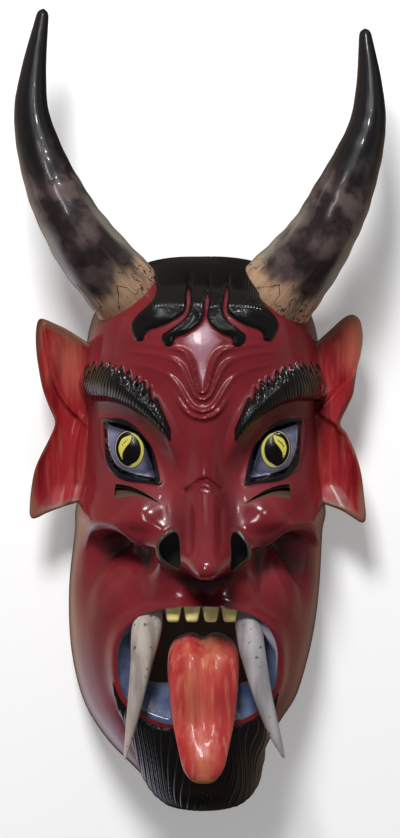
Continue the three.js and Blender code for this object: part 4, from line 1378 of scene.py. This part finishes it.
def tusk_paint(name):
    p = Paint(f"tusk_{name}")
    grain = p.noise(130, 4, (1, 0.1, 1))
    colour = p.blend(p.step(grain, 0.3, 0.68), f"{name} tusk", f"pale {name} tusk")
    colour = p.lay(colour, p.step(p.noise(28, 3), 0.5, 0.72), "tusk stain", 0.4)
    colour = p.lay(colour, p.step(p.noise(260, 2), 0.66, 0.72), "tusk speck", 0.8)
    p.bump(grain, strength=0.5, distance=0.0008)
    return p.finish(colour, roughness=0.55)


def tooth_paint():
    p = Paint("tooth")
    colour = p.blend(p.step(p.noise(120, 3), 0.3, 0.7), "tooth", "pale tooth")
    return p.finish(colour, roughness=0.35, coat=0.2)


# Floor, light and camera
def add_floor():
    corners = FLOOR_REACH * np.array([[-1, -1, 0], [1, -1, 0], [1, 1, 0], [-1, 1, 0]])
    p = Paint("pale_floor")
    middle, reach = (Vector(place) * MILLIMETRE for place in (FLOOR_SHADE.middle, FLOOR_SHADE.reach))
    under_mask = p.step(p.nearness(middle, reach), 0.0, 0.05)
    p.feed(p.shader.inputs["Emission Color"], p.mix(under_mask, (1, 1, 1), (0, 0, 0)))
    p.shader.inputs["Emission Strength"].default_value = FLOOR_GLOW
    matt = p.finish(ink("floor"), roughness=0.9)
    floor = add_mesh("floor", (corners - FRAME_SHIFT, [[0, 1, 2, 3]]), material=matt)
    floor.visible_glossy = False


def add_light(name, place, aim, size, power, surfaces):
    """An area light that either lights the matt surfaces or shows in the gloss."""
    light = bpy.data.lights.new(name, "AREA")
    light.shape = "RECTANGLE"
    light.size, light.size_y = (side * MILLIMETRE for side in size)
    light.energy = power
    obj = bpy.data.objects.new(name, light)
    place, aim = Vector(place) * MILLIMETRE, Vector(aim) * MILLIMETRE
    obj.location = place
    obj.rotation_euler = (aim - place).to_track_quat("-Z", "Y").to_euler()
    obj.visible_glossy = surfaces == "gloss"
    obj.visible_diffuse = surfaces == "matt"
    bpy.context.scene.collection.objects.link(obj)


class Sky(Nodes):
    """The room round the mask, coloured by direction."""

    def __init__(self):
        self.world = bpy.data.worlds.new("studio")
        super().__init__(self.world)
        self.way = self.node("SeparateXYZ", Vector=self.node("TexCoord").outputs["Generated"]).outputs

    def share(self, axis, start, end):
        return self.step(self.way[axis], start, end, "LINEAR")

    def ramp(self, share, stops):
        node = self.node("ValToRGB", Fac=share)
        elements = node.color_ramp.elements
        for element, (position, colour) in zip(elements, (stops[0], stops[-1])):
            element.position = position
            element.color = (*colour, 1)
        for position, colour in stops[1:-1]:
            elements.new(position).color = (*colour, 1)
        return node.outputs["Color"]


def add_world():
    sky = Sky()
    height = sky.share("Z", -1, 1)
    before = sky.share("Y", *SKY.front)
    colour = sky.mix(before, sky.ramp(height, ROOM_STOPS), sky.ramp(height, FRONT_STOPS))
    low = sky.share("Z", *SKY.low)
    along = sky.share("Y", *SKY.along)
    start, end = SKY.beside
    for way, stops in ((1, SIDE_STOPS), (-1, PATCH_STOPS)):
        beside = sky.times(sky.share("X", start * way, end * way), low)
        colour = sky.mix(beside, colour, sky.ramp(along, stops))
    sky.feed(sky.tree.nodes["Background"].inputs["Color"], colour)
    bpy.context.scene.world = sky.world


def add_lights():
    add_world()
    for light in LIGHTS:
        add_light(*light)


def add_camera():
    camera = bpy.data.cameras.new("camera")
    camera.lens = CAMERA_LENS
    obj = bpy.data.objects.new("camera", camera)
    obj.location = Vector(CAMERA_PLACE) * MILLIMETRE
    bpy.context.scene.collection.objects.link(obj)
    bpy.context.scene.camera = obj


def build():
    mask_face(lacquer())
    teeth(tooth_paint())
    horns, ears = horn_paint(), ear_paint()
    for name, side in (("left", -1), ("right", 1)):
        horn(name, horns)
        ear(name, side, ears)
    tongue(tongue_paint())
    for name in ("left", "right"):
        tusk(name, tusk_paint(name))
    add_floor()
    add_lights()
    add_camera()
    bpy.context.scene.view_settings.view_transform = "Standard"


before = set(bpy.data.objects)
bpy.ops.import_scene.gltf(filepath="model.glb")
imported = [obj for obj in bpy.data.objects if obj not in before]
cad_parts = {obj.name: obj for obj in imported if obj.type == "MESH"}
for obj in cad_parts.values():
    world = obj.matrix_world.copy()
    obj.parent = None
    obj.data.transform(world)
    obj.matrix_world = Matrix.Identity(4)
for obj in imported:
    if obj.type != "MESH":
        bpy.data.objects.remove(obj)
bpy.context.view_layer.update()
build()
